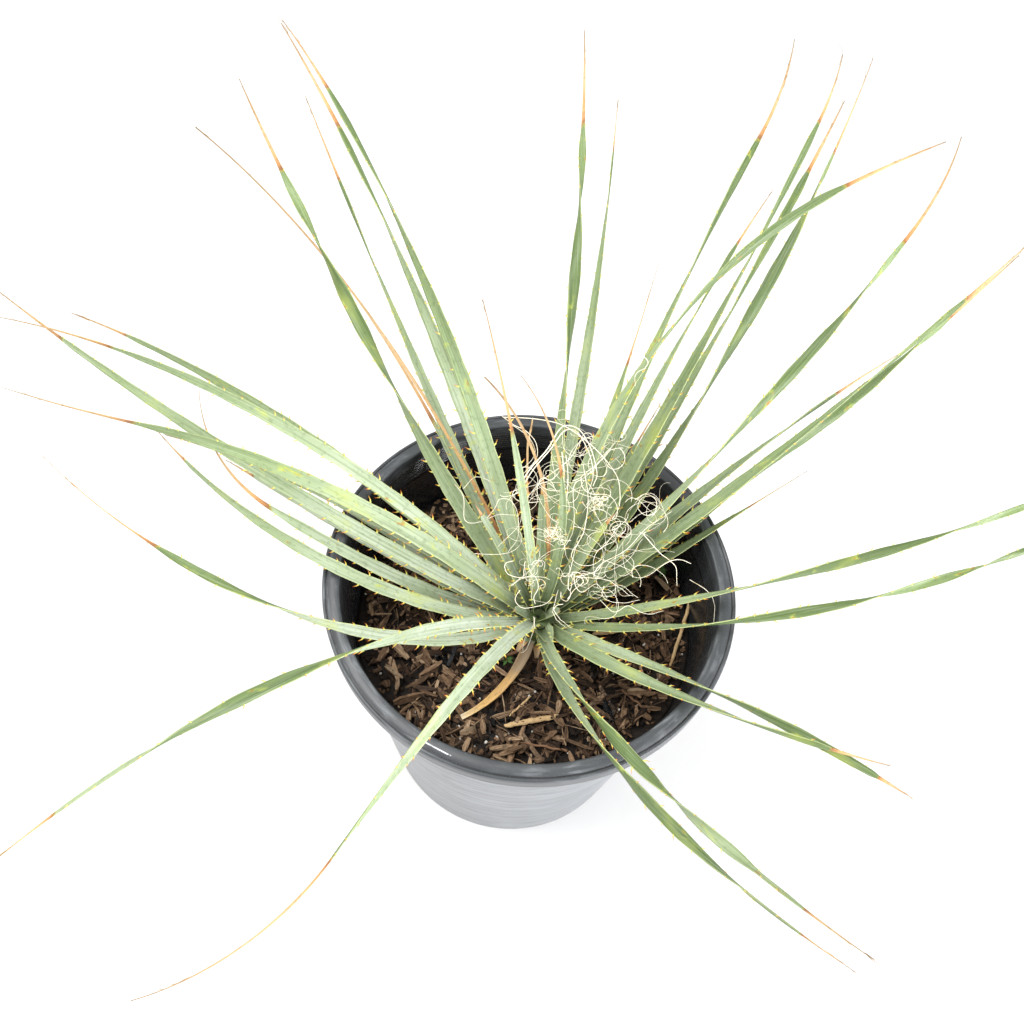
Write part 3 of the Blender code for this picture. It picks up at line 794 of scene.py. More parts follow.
@dataclass
class Pot:
    """The tapered nursery pot with its flat rim, lip, ribs and drained floor.

    A row of the rim's section holds a zone, by its marks rim, outside and inside, and the points in it, by
    their way in from the rim's edge and down from its top. A rib's section holds heights over its crest, in
    shares of the pitch, and shares of its depth.
    """

    plastic: bpy.types.Material
    sides: int = 192
    rim_radius: float = 0.1524
    rim_width: float = 0.0124
    rim_section: tuple[tuple[Vec, tuple[tuple[float, float], ...]], ...] = (
        ((0.6, 0.4, 0), ((0.0004, 0.0130), (0.0001, 0.0050), (0.0, 0.0010))),
        ((1, 0, 0), ((0.0003, 0.0003), (0.0010, 0.0), (0.0021, 0.0))),
        ((0.1, 0, 0), ((0.0025, 0.0006), (0.0033, 0.0006))),
        ((1, 0, 0), ((0.0036, 0.0), (0.0109, 0.0), (0.0120, 0.0004), (0.0124, 0.0015))),
        ((0.5, 0, 0.5), ((0.0124, 0.0060),)),
    )
    lip_height: float = 0.013
    ledge_depth: float = 0.007
    base_radius: float = 0.115
    wall: float = 0.0022
    wall_rows: int = 14
    floor: float = 0.003
    corner: float = 0.003
    corner_cut: tuple[float, float] = (0.001, 0.0007)
    ribs: int = 7
    rib_depth: float = 0.0010
    rib_pitch: float = 0.0024
    rib_section: tuple[tuple[float, float], ...] = ((0.4, 0.0), (0.2, 1.0), (-0.2, 1.0), (-0.4, 0.0))
    below_ribs: float = 0.004
    inner_rows: int = 12
    drains: int = 6
    drain_radius: float = 0.007
    drain_circle: float = 0.078
    drain_rings: tuple[float, ...] = (0.0, 0.3, 1.0)
    hub: float = 0.050
    spoke_points: int = 7
    floor_lay: Vec = (9, 9, 0)

    def outer_wall(self, height: Numbers) -> Numbers:
        """Returns the outer wall's radius at a height."""
        top = self.rim_radius - self.rim_width + self.wall
        return self.base_radius + (top - self.base_radius) * height / POT_HEIGHT

    def inner_wall(self, height: Numbers) -> Numbers:
        """Returns the inner wall's radius at a height."""
        return self.outer_wall(height) - self.wall

    def profile(self) -> tuple[np.ndarray, np.ndarray]:
        """Draws the wall's section from the foot's corner over the rim to the inner floor's corner.

        Returns:
            Radius and height by point, and the marks rim, outside and inside by point.
        """
        top, tall, ledge = POT_HEIGHT, self.rim_radius, POT_HEIGHT - self.ledge_depth
        under = top - self.wall
        cut_in, cut_up = self.corner_cut
        foot = [(self.base_radius - self.corner, 0.0), (self.base_radius - cut_in, cut_up)]
        heights = np.linspace(self.corner, under, self.wall_rows)
        foot += [(self.outer_wall(height), height) for height in heights]
        foot += [(tall - self.wall, under), (tall - self.wall, top - self.lip_height)]
        rim = [
            (zone, [(tall - inwards, top - down) for inwards, down in row])
            for zone, row in self.rim_section
        ]
        inner = []
        for crest in ledge - self.rib_pitch * np.arange(1, self.ribs + 1):
            for rise, share in self.rib_section:
                height = crest + rise * self.rib_pitch
                inner.append((self.inner_wall(height) - share * self.rib_depth, height))
        heights = np.linspace(inner[-1][1] - self.below_ribs, self.floor, self.inner_rows)
        inner += [(self.inner_wall(height), height) for height in heights]
        shelf = [(self.inner_wall(ledge), ledge)]
        groups = [((0, 1, 0), foot), *rim, ((0.5, 0, 0.5), shelf), ((0, 0, 1), inner)]
        points = np.array([point for _, group in groups for point in group])
        zones = np.array([zone for zone, group in groups for _ in group], float)
        return points, zones

    def wall_shape(self) -> Shape:
        """Turns the section round the pot's axis: x = r cos a, y = r sin a and z = h for each angle a."""
        points, zones = self.profile()
        angles = full_turn(self.sides)
        way = np.cumsum(np.hypot(*np.diff(points, axis=0, prepend=points[:1]).T))[:, None]
        marks = {"lay": ring(angles, 1.0, way), "zone": zones[:, None]}
        turned = loft(ring(angles, points[:, :1], points[:, 1:])[None], marks)
        return Shape(turned.points, turned.faces[:1], turned.marks)

    def floor_shapes(self) -> list[Shape]:
        """Spreads the floor round its drain holes.

        Each sector runs from its drain hole's circle to its own outline in straight lines: p = hole +
        (outline - hole) s. It does so below, rises through the hole and does so again above.

        Returns:
            One shape for each sector, and the hub's two faces.
        """
        half = np.pi / self.drains
        arc = np.linspace(-half, half, self.sides // self.drains + 1)
        spoke = np.full(self.spoke_points, half)
        rise = np.linspace(0, 1, self.spoke_points + 2)[1:-1]
        inside = np.array((0.0, 0.0, 1.0))
        levels = ((0.0, self.base_radius - self.corner, -1), (self.floor, self.inner_wall(self.floor), 1))
        shapes = []
        for number in range(self.drains):
            middle = 2 * half * (number + 0.5)
            turn = middle + np.concatenate([arc, spoke, arc[::-1], -spoke])
            rows = []
            for height, edge, way in levels:
                spans = self.hub + (edge - self.hub) * rise
                radius = np.concatenate([0 * arc + edge, spans[::-1], 0 * arc + self.hub, spans])
                centre = ring(middle, self.drain_circle, height)
                outline = ring(turn, radius, height)
                hole = centre + self.drain_radius * unit(outline - centre)
                rows += [hole + (outline - hole) * share for share in self.drain_rings[::way]]
            grid = np.array(rows)
            made = loft(grid[None], {"lay": grid * self.floor_lay, "zone": inside})
            shapes.append(Shape(made.points, made.faces[:1], made.marks))
        for height in (0.0, self.floor):
            hub = ring(full_turn(self.sides), self.hub, height)
            marks = {"lay": hub * self.floor_lay, "zone": np.tile(inside, (self.sides, 1))}
            shapes.append(Shape(hub, [np.arange(self.sides)[None]], marks))
        return shapes

    def make(self) -> None:
        """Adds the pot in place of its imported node."""
        shape = joined([self.wall_shape(), *self.floor_shapes()])
        make_piece(shape, "nursery_pot", self.plastic, ["pot"], weld=True)


class ChipKind(Enum):
    """The shapes that the mulch is made of: length, width and thickness ranges in metres, and count."""

    SPLINTER = ((0.011, 0.025), (0.0026, 0.0056), (0.0012, 0.0026), 1100)
    SLIVER = ((0.008, 0.026), (0.0006, 0.0016), (0.0005, 0.0011), 900)
    FLAKE = ((0.006, 0.013), (0.0030, 0.0065), (0.0008, 0.0018), 350)
    CRUMB = ((0.002, 0.005), (0.0012, 0.0030), (0.0010, 0.0024), 1300)
    GRIT = ((0.0012, 0.0028), (0.0010, 0.0020), (0.0010, 0.0020), 150)


@dataclass
class PottingMix:
    """The bark mulch that fills the pot, with loose chips on it."""

    pot: Pot
    bark: bpy.types.Material
    grit: bpy.types.Material
    charred: np.ndarray
    covered: np.ndarray
    cover_reach: float = 0.009
    char_reach: float = 0.007
    wave: float = 0.0025
    roughness: float = 0.0009
    level_reach: float = 0.03
    hole: float = 0.0105
    hole_depth: float = 0.0258
    gap: float = 0.0004
    shoulder: float = 0.006
    sides: int = 144
    rows: int = 56
    low_rows: int = 9
    # The body's lowest tone and damp: partly damp mulch, partly painted shade in the gaps between the chips.
    body_shade_cast: Vec = (0.02, 0.6, 0.5)
    wall_clear: float = 0.0015
    crown_clear: float = 0.021
    heap: float = 0.0065
    covered_heap: float = 0.0012
    slopes: float = 13
    rolls: float = 28
    bends: float = 0.035
    stations: tuple[float, ...] = (-1.0, -0.45, 0.35, 1.0)
    thicknesses: tuple[float, ...] = (0.65, 1.0, 0.95, 0.5)
    tones: tuple[float, float] = (0.38, 0.30)
    painted_light_per_lift: float = 36
    damp_share: float = 0.25
    first_seed: int = 11

    def relief(self, x: np.ndarray, y: np.ndarray) -> np.ndarray:
        """Returns the surface's height over the soil level: slow waves that fade out near the crown."""
        near = np.hypot(x - HEART[0], y - HEART[1]) / self.level_reach
        waves = np.sin(61 * x + 1.3) * np.cos(53 * y - 0.4) + 0.5 * np.sin(97 * x - 83 * y)
        return self.wave * 0.5 * waves * (1 - np.exp(-(near**2)))

    def body(self) -> Shape:
        """Spreads the surface from the crown's hole to the pot's wall.

        A surface point is hole + (wall - hole) s along each direction a, with the hole's circle round the
        crown and the wall's circle round the pot's axis. The body goes on down the wall and closes below.

        Returns:
            The body of the mix.
        """
        angles = full_turn(self.sides)
        hole = HEART * LEVEL + self.hole * ring(angles)
        rim = ring(angles, self.pot.inner_wall(SOIL_LEVEL) - self.gap)
        top = hole + (rim - hole) * (np.linspace(0, 1, self.rows) ** 0.9)[:, None, None]
        x, y, _ = np.moveaxis(top, -1, 0)
        rough = self.roughness * np.sin(410 * x) * np.cos(370 * y + 1) * np.sin(140 * x - 90 * y)
        surface = spread(x, y, SOIL_LEVEL + self.relief(x, y) + rough)
        pit = hole + (0, 0, SOIL_LEVEL - self.hole_depth)
        low = np.linspace(SOIL_LEVEL - self.shoulder, self.pot.floor + self.gap, self.low_rows)[:, None]
        grid = np.concatenate([pit[None], surface, ring(angles, self.pot.inner_wall(low) - self.gap, low)])
        return loft(grid[None], {"grain": grid, "cast": np.array(self.body_shade_cast)})

    @staticmethod
    def nearest(points: np.ndarray, others: np.ndarray) -> np.ndarray:
        """Returns how far each point lies from the nearest of the others, seen from above."""
        return np.linalg.norm(points[:, None, :2] - others[None, :, :2], axis=2).min(axis=1)

    def chips(self, kind: ChipKind, seed: int) -> Shape:
        """Scatters the chips of one kind.

        A chip is four square sections along a bent line, thick in the middle and thin at both ends, turned
        by a heading, a slope and a roll.

        Args:
            kind: the kind of chip.
            seed: start of the random numbers.

        Returns:
            All its chips as one shape.
        """
        *limits, count = kind.value
        chance = np.random.default_rng(seed)
        long, wide, deep = [chance.uniform(*pair, count) for pair in limits]
        room = self.pot.inner_wall(SOIL_LEVEL) - self.wall_clear - long * 0.5
        radius, around = room * np.sqrt(chance.uniform(0, 1, count)), chance.uniform(0, 2 * np.pi, count)
        off = ring(around, radius) - HEART * LEVEL
        push = np.maximum(np.linalg.norm(off, axis=1), self.crown_clear + long * 0.35)
        centre = HEART * LEVEL + push[:, None] * unit(off)
        heap = np.where(self.nearest(centre, self.covered) < self.cover_reach, self.covered_heap, self.heap)
        lift = deep * 0.2 + heap * chance.uniform(0, 1, count) ** 1.6
        centre[:, 2] = SOIL_LEVEL + self.relief(centre[:, 0], centre[:, 1]) + lift
        heading, slope = chance.uniform(0, 2 * np.pi, count), np.radians(chance.normal(0, self.slopes, count))
        along = towards(slope, heading)
        side = unit(np.cross(UP, along))
        across, above = rolled(side, np.cross(along, side), chance.normal(0, self.rolls, count))
        stations = np.array(self.stations) + chance.uniform(-0.12, 0.12, (count, 4))
        thick = np.array(self.thicknesses) * chance.uniform(0.7, 1.1, (count, 4))
        bend = chance.normal(0, self.bends, (count, 1)) * long[:, None] * (stations**2 - 0.4)
        corners = np.array(((-1, -1), (1, -1), (1, 1), (-1, 1))) * 0.5
        far = stations * long[:, None] / 2
        line = centre[:, None] + along[:, None] * far[..., None] + across[:, None] * bend[..., None]
        rings = line[:, :, None]
        for size, way, corner in ((wide, across, corners[:, :1]), (deep, above, corners[:, 1:])):
            rings = rings + (size[:, None] * thick)[:, :, None, None] * corner * way[:, None, None]
        # Painted light: chips that lie higher are painted lighter, over their random tone.
        tone = np.clip(chance.normal(*self.tones, count) + lift * self.painted_light_per_lift, 0, 1)
        damp = (chance.uniform(0, 1, count) < self.damp_share) * chance.uniform(0.4, 1.0, count)
        burnt = np.exp(-((self.nearest(centre, self.charred) / self.char_reach) ** 2))
        number = chance.uniform(0, 0.9, count) + 1.1 * burnt
        grain = spread(far[:, :, None], wide[:, None, None] * corners[:, 0], number[:, None, None])
        return loft(rings, {"grain": grain, "cast": spread(tone, damp, number)[:, None, None]})

    def make(self) -> None:
        """Adds the body and the chips."""
        make_piece(self.body(), "potting_mix", self.bark, ["soil"])
        for seed, kind in enumerate(ChipKind, self.first_seed):
            finish = self.grit if kind is ChipKind.GRIT else self.bark
            make_piece(self.chips(kind, seed), f"bark_{kind.name.lower()}", finish, smooth=False)


@dataclass(frozen=True)
class LeafLaw:
    """How every leaf's width goes along it, in shares of its widest, and how its path bends."""

    root: float = 0.86
    root_reach: float = 0.10
    root_power: float = 0.7
    fresh: float = 1.06
    fresh_taper: float = 0.56
    fresh_power: float = 1.8
    dry: float = 0.45
    dry_taper: float = 0.75
    shrinks_from: float = -0.25
    shrinks_over: float = 0.35
    shrinking: float = 0.42
    old_from: float = 0.8
    dead_from: float = 0.95
    old: float = 0.5
    dead_more: float = 0.25
    old_taper: float = 0.6
    thinnest: float = 0.0006
    steps: int = 241
    lift_reach: float = 0.05
    droop_power: float = 1.5
    twist_until: float = 0.8


LAW = LeafLaw()


@dataclass(frozen=True)
class Leaf:
    """One strap leaf, by the angles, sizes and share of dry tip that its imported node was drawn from."""

    turn: float
    rise: float
    lift: float
    length: float
    droop: float
    sweep: float
    hook: float
    twist: float
    width: float
    dry: float

    def widths(self, shares: np.ndarray) -> np.ndarray:
        """Returns the width at shares of the length: broad at the root, slowly narrower, then a thin tip."""
        root = LAW.root + (1 - LAW.root) * np.clip(shares / LAW.root_reach, 0.0, 1.0) ** LAW.root_power
        green = 1 - self.dry
        if self.dry >= LAW.old_from:
            widest = LAW.old + LAW.dead_more * (self.dry > LAW.dead_from)
            taper = 1 - LAW.old_taper * np.maximum(shares, 0)
            return np.maximum(LAW.thinnest, self.width * root * widest * taper)
        fresh = LAW.fresh * (1 - LAW.fresh_taper * np.clip(shares / green, 0.0, 1.0) ** LAW.fresh_power)
        withered = LAW.dry * (1 - LAW.dry_taper * (shares - green) / self.dry)
        shrunk = np.clip((self.dried(shares) - LAW.shrinks_from) / LAW.shrinks_over, 0.0, 1.0)
        taper = np.where(shares < green, fresh, withered) * (1 - LAW.shrinking * shrunk**2 * (3 - 2 * shrunk))
        return np.maximum(LAW.thinnest, self.width * root * taper)

    def dried(self, shares: np.ndarray) -> np.ndarray:
        """Returns how far into the dry tip shares of the length lie, below 0 where the leaf is green."""
        return (shares - 1 + self.dry) / self.dry

    def frames(self, shares: np.ndarray) -> tuple[np.ndarray, np.ndarray, np.ndarray, np.ndarray]:
        """Follows the middle line and the blade's directions.

        The line adds up directions whose climb is rise - lift exp(-s / 50 mm) - droop t^1.5 and whose heading
        is turn + sweep t + hook in the dry part, t being the share of the length. Before the root it runs
        straight on into the crown. The blade turns about the line by twist t^2, up to t = 0.8.

        Args:
            shares: shares of the length, rising.

        Returns:
            Points, and the directions along, across and above the blade.
        """
        steps = np.linspace(0.0, 1.0, LAW.steps)
        flatter = self.lift * np.exp(-steps * self.length / LAW.lift_reach)
        climb = np.radians(self.rise - flatter - self.droop * steps**LAW.droop_power)
        heading = np.radians(self.turn + self.sweep * steps + self.hook * np.clip(self.dried(steps), 0, 1))
        ways = towards(climb, heading)
        run = np.cumsum((ways[1:] + ways[:-1]) / 2, axis=0) * self.length / (len(steps) - 1)
        line = np.vstack([np.zeros(3), run]) + HEART + ways[0] * (CROWN_RADIUS + SEAT_GAP)
        points, along = [
            np.stack([np.interp(shares, steps, part) for part in row.T], axis=1) for row in (line, ways)
        ]
        points = points + ways[0] * (np.minimum(shares, 0.0) * self.length)[:, None]
        along = unit(along)
        side = unit(np.cross(along, UP))
        tilt = self.twist * np.clip(shares, 0.0, LAW.twist_until) ** 2
        return points, along, *rolled(side, np.cross(side, along), tilt)


@dataclass(frozen=True)
class Look:
    """What sets one leaf's finish apart: where its patterns start, and its tone, 0 to 1, partly random and
    partly painted light, for how waxy and how lit the leaf is painted.
    """

    seed: float
    tone: float

    def marks(
        self,
        aside: Numbers,
        far: Numbers,
        dried: Numbers,
        tooth: Numbers,
        edge: Numbers,
        upper: Numbers,
        deep: Numbers,
    ) -> dict[str, np.ndarray]:
        """Gathers what the leaf's finish reads at points of the leaf.

        Args:
            aside: distance from the middle line.
            far: distance along the middle line.
            dried: how far into the dry tip.
            tooth: 0 on the blade, and 0 to 1 along a tooth.
            edge: 0 in the middle to 1 at the margin.
            upper: 1 above and 0 below.
            deep: painted shade among the bases, 0 in the open to 1 at the root.

        Returns:
            The marks grain, state and cast.
        """
        grain, state = spread(aside, far, self.seed), spread(dried, tooth, edge)
        return {"grain": grain, "state": state, "cast": spread(self.tone, upper, deep)}


@dataclass
class LeafMaker:
    """Turns a leaf's numbers into its blade, teeth and frayed tip."""

    rows: int = 104
    columns: int = 9
    inner_rows: int = 4
    thickness: float = 0.0008
    edge_thickness: float = 0.0005
    thin_below: float = 0.0012
    keel: float = 0.11
    clasp: float = 1.6
    clasp_reach: float = 0.016
    ripple: float = 0.05
    ripple_pace: float = 190
    root_depth: float = 0.005
    root_shade: float = 0.022
    tooth_pitch: float = 0.0145
    tooth_shift: float = 0.42
    tooth_spread: float = 1.2
    tooth_length: float = 0.0036
    tooth_sizes: tuple[float, float] = (0.45, 1.3)
    tooth_radius: float = 0.00095
    tooth_point: float = 0.00005
    tooth_inset: float = 0.0004
    ripe_reach: float = 0.08
    teeth_from: float = 0.006
    tooth_rows: int = 5
    tooth_sides: int = 5
    threads: int = 3
    thread_rows: int = 14
    thread_sides: int = 4
    thread_radius: float = 0.00026
    thread_shares: tuple[float, float] = (0.02, 0.06)
    thread_bends: tuple[float, float] = (0.05, 0.30)
    # Heading in degrees of the side of the rosette whose leaves are painted in shade.
    shaded_side: float = 45.0
    first_seed: int = 100

    def blade(self, leaf: Leaf, look: Look) -> Shape:
        """Carries the leaf's section along its middle line.

        The section is a shallow trough: at the part c of the half width w, -1 to 1, it lies
        keel w (2 c^2 - 1) over the line, with half the thickness above and half below.

        Args:
            leaf: the leaf.
            look: what sets its finish apart.

        Returns:
            The closed blade.
        """
        inner = np.linspace(-self.root_depth / leaf.length, 0, self.inner_rows + 1)[:-1]
        shares = np.concatenate([inner, np.linspace(0, 1, self.rows)])
        points, _, across, above = leaf.frames(shares)
        far = (shares * leaf.length)[:, None]
        ripple = self.ripple * np.sin(far * self.ripple_pace + look.seed * 40)
        half = (leaf.widths(shares) / 2)[:, None] * (1 + ripple)
        part = np.linspace(-1, 1, self.columns)
        part = np.concatenate([part, part[::-1]])
        upper = np.repeat((1.0, 0.0), self.columns)
        half_thick = (self.thickness - (self.thickness - self.edge_thickness) * part**4) / 2
        thin = np.minimum(1.0, half / self.thin_below)
        clasp = 1 + self.clasp * np.exp(-np.maximum(far + self.root_depth, 0) / self.clasp_reach)
        rise = self.keel * clasp * half * (2 * part**2 - 1) + thin * half_thick * (2 * upper - 1)
        aside = half * part
        rings = points[:, None] + across[:, None] * aside[..., None] + above[:, None] * rise[..., None]
        deep = np.exp(-far / self.root_shade)
        dried = leaf.dried(shares)[:, None]
        return loft(rings[None], look.marks(aside, far, dried, 0.0, np.abs(part), upper, deep))

    def teeth(self, leaf: Leaf, look: Look, chance: np.random.Generator) -> list[Shape]:
        """Sets hooked teeth on both margins.

        A tooth's line leaves the margin sideways and bends to the tip: base + length (u across +
        (0.15 u + 0.8 u^2) along + 0.15 u above), and its radius is the root's times (1 - u)^1.1.

        Args:
            leaf: the leaf.
            look: what sets its finish apart.
            chance: source of random numbers.

        Returns:
            One shape with all the teeth, or nothing for a leaf without room.
        """
        end = (1 - min(leaf.dry, 0.75) * 0.9) * leaf.length
        if end < self.teeth_from + 3 * self.tooth_pitch:
            return []
        row = np.arange(0, end - self.teeth_from, self.tooth_pitch)
        both = np.concatenate([row, row + self.tooth_pitch * 0.5])
        shift = chance.uniform(-self.tooth_shift, self.tooth_shift, len(both))
        both = np.maximum(both + shift * self.tooth_pitch, 0)
        far = self.teeth_from + (end - self.teeth_from) * (both / end) ** self.tooth_spread
        order = np.argsort(far)
        far, side = far[order], np.repeat((-1.0, 1.0), len(row))[order]
        shares = np.clip(far / leaf.length, 0, 1)
        points, along, across, above = leaf.frames(shares)
        half = (leaf.widths(shares) / 2)[:, None]
        out = across * side[:, None]
        base = points + out * (half - self.tooth_inset) + above * (self.keel * half)
        u = np.linspace(0, 1, self.tooth_rows)
        weaker = np.clip(1.12 - 0.75 * shares, 0.5, 1.0)
        size = self.tooth_length * chance.uniform(*self.tooth_sizes, len(far)) * weaker
        lean, hook = (0.15 * u)[:, None], (0.15 * u + 0.8 * u**2)[:, None]
        reach = out[:, None] * u[:, None] + along[:, None] * hook + above[:, None] * lean
        paths = base[:, None] + size[:, None, None] * reach
        radii = (self.tooth_radius * weaker)[:, None] * (1 - u) ** 1.1 + self.tooth_point
        grown = np.clip(0.5 + far / self.ripe_reach, 0, 1)
        ripe = 0.04 + 0.96 * u * (chance.uniform(0.6, 1.0, len(far)) * grown)[:, None]
        marks = look.marks(half, far[:, None], leaf.dried(shares)[:, None], ripe, 1.0, 1.0, 0.0)
        return [tubes(paths, radii, self.tooth_sides, marks)]

    def frayed_tip(self, leaf: Leaf, look: Look, chance: np.random.Generator) -> Shape:
        """Splits thin threads off the dry tip.

        A thread leaves the middle line at its own share of the length and curls away: start +
        length (u along + (bend u^2 + 0.03 sin 9 u) to one side).

        Args:
            leaf: the leaf.
            look: what sets its finish apart.
            chance: source of random numbers.

        Returns:
            The threads as one shape.
        """
        shares = np.sort(1 - min(leaf.dry, 0.3) * chance.uniform(0.05, 0.6, self.threads))
        points, along, across, above = leaf.frames(shares)
        side, _ = rolled(across, above, np.degrees(chance.uniform(0, 2 * np.pi, self.threads)))
        u = np.linspace(0, 1, self.thread_rows)
        length = leaf.length * chance.uniform(*self.thread_shares, self.threads)[:, None, None]
        bend = chance.uniform(*self.thread_bends, self.threads)[:, None, None]
        curl = (bend * (u**2)[:, None] + 0.03 * np.sin(9 * u)[:, None]) * side[:, None]
        paths = points[:, None] + length * (u[:, None] * along[:, None] + curl)
        radii = np.tile(self.thread_radius * (1 - 0.65 * u), (self.threads, 1))
        late = leaf.dried(shares)[:, None] * (1 - u) + u
        far = (shares * leaf.length)[:, None] + length[..., 0] * u
        return tubes(paths, radii, self.thread_sides, look.marks(0.0005, far, late, 0.0, 0.5, 1.0, 0.0))

    def shape(self, leaf: Leaf, number: int) -> Shape:
        """Returns one whole leaf; its number in the rosette starts its random numbers."""
        chance = np.random.default_rng(self.first_seed + number)
        seed = float(chance.uniform(0, 9))
        # Painted light: a leaf pointing towards the shaded side gets a low tone and is painted darker and
        # less waxy; the rest of its tone is random.
        facing = 0.5 - 0.35 * math.cos(math.radians(leaf.turn - self.shaded_side))
        look = Look(seed, float(np.clip(facing + chance.normal(0, 0.16), 0, 1)))
        teeth = self.teeth(leaf, look, chance)
        return joined([self.blade(leaf, look), self.frayed_tip(leaf, look, chance), *teeth])


LEAVES = (
    Leaf(141, 42, 13, 0.46, 30, -20, 0, 640, 0.0125, 0.19),
    Leaf(124, 44, -2, 0.47, 28, 4, 0, 260, 0.0120, 0.20),
    Leaf(124, 54, 0, 0.465, 44, 6, 0, 240, 0.0110, 0.14),
    Leaf(129, 34, 10, 0.46, 26, -12, 0, -180, 0.0110, 0.20),
    Leaf(127, 33, -5, 0.46, 26, 18, 0, 90, 0.0060, 0.90),
    Leaf(126, 29, 14, 0.35, 36, 2, 0, 90, 0.0110, 0.55),
    Leaf(114, 36, 5, 0.18, 20, 12, 0, 90, 0.0100, 0.10),
    Leaf(136, 78, 0, 0.27, 12, 0, 0, 60, 0.0080, 0.35),
    Leaf(81, 64, 0, 0.19, 34, 74, 0, 60, 0.0070, 0.80),
    Leaf(58, 75, 0, 0.20, 34, 96, 0, 60, 0.0080, 0.40),
    Leaf(89, 42, -4, 0.46, 30, 6, 0, 620, 0.0110, 0.20),
    Leaf(84, 33, 8, 0.46, 30, 6, 0, 165, 0.0100, 0.15),
    Leaf(69, 49, -2, 0.46, 32, -5, 20, 230, 0.0110, 0.19),
    Leaf(54, 50, 5, 0.46, 32, 16, 10, 200, 0.0110, 0.13),
    Leaf(48, 48, 25, 0.47, 24, 25, 0, 450, 0.0120, 0.17),
    Leaf(56, 41, 13, 0.46, 26, 12, 0, 250, 0.0120, 0.16),
    Leaf(68, 31, 11, 0.42, 30, -4, 0, 200, 0.0100, 0.18),
    Leaf(81, 59, 0, 0.45, 52, -66, 15, 250, 0.0110, 0.17),
    Leaf(35, 45, 12, 0.47, 32, 24, 15, 550, 0.0105, 0.22),
    Leaf(38, 36, 19, 0.34, 30, 0, 0, 160, 0.0120, 0.20),
    Leaf(28, 38, 12, 0.46, 26, 19, 0, 185, 0.0110, 0.18),
    Leaf(31, 32, 20, 0.46, 20, 16, 0, 470, 0.0130, 0.18),
    Leaf(25, 40, 33, 0.22, 20, 8, 0, 90, 0.0100, 0.25),
    Leaf(-2, 32, 6, 0.42, 34, 33, 0, 520, 0.0085, 0.12),
    Leaf(-13, 30, 9, 0.42, 20, 46, 0, 820, 0.0080, 0.10),
    Leaf(-31, 31, 6, 0.27, 38, 5, 0, 260, 0.0100, 0.08),
    Leaf(-46, 33, 4, 0.26, 40, 40, 0, 160, 0.0115, 0.15),
    Leaf(-78, 42, 4, 0.33, 40, 48, 0, 640, 0.0095, 0.12),
    Leaf(-78, 34, 6, 0.32, 26, 48, 0, 410, 0.0090, 0.10),
    Leaf(-109, 56, 0, 0.41, 72, -8, -45, 190, 0.0100, 0.25),
    Leaf(-136, 56, 8, 0.41, 76, 0, 0, 490, 0.0090, 0.10),
    Leaf(-148, 33, 24, 0.37, 8, -66, 0, 430, 0.0095, 0.25),
    Leaf(178, 34, 4, 0.45, 30, -30, 0, 110, 0.0105, 0.15),
    Leaf(153, 29, 6, 0.41, 28, 11, 0, 130, 0.0105, 0.12),
    Leaf(158, 38, 1, 0.43, 39, 16, 0, 140, 0.0100, 0.19),
    Leaf(169, 41, 0, 0.415, 54, 10, -20, 160, 0.0120, 0.25),
    Leaf(164, 30, 3, 0.30, 34, 4, 0, 90, 0.0090, 0.25),
    Leaf(-178, 32, 22, 0.31, 4, -25, -60, 100, 0.0110, 0.34),
    Leaf(-167, 28, 12, 0.31, 19, -54, 0, 120, 0.0100, 0.10),
    Leaf(174, 30, 12, 0.25, 26, -18, 0, 120, 0.0100, 0.10),
    Leaf(163, 36, 24, 0.23, 34, 0, 0, 120, 0.0110, 0.25),
    Leaf(72, 44, 6, 0.27, 14, 6, 0, 120, 0.0110, 0.30),
    Leaf(42, 64, 0, 0.10, 10, 0, 0, 40, 0.0120, 0.10),
    Leaf(62, 46, 12, 0.175, 20, 0, 0, 60, 0.0080, 0.20),
    Leaf(150, 62, 0, 0.105, 10, 0, 0, 40, 0.0080, 0.10),
    Leaf(102, 70, 0, 0.11, 10, 0, 0, 40, 0.0080, 0.10),
)
DEAD_LEAF = Leaf(-104, -11, 0, 0.08, -8, -44, 0, 20, 0.0120, 1.00)


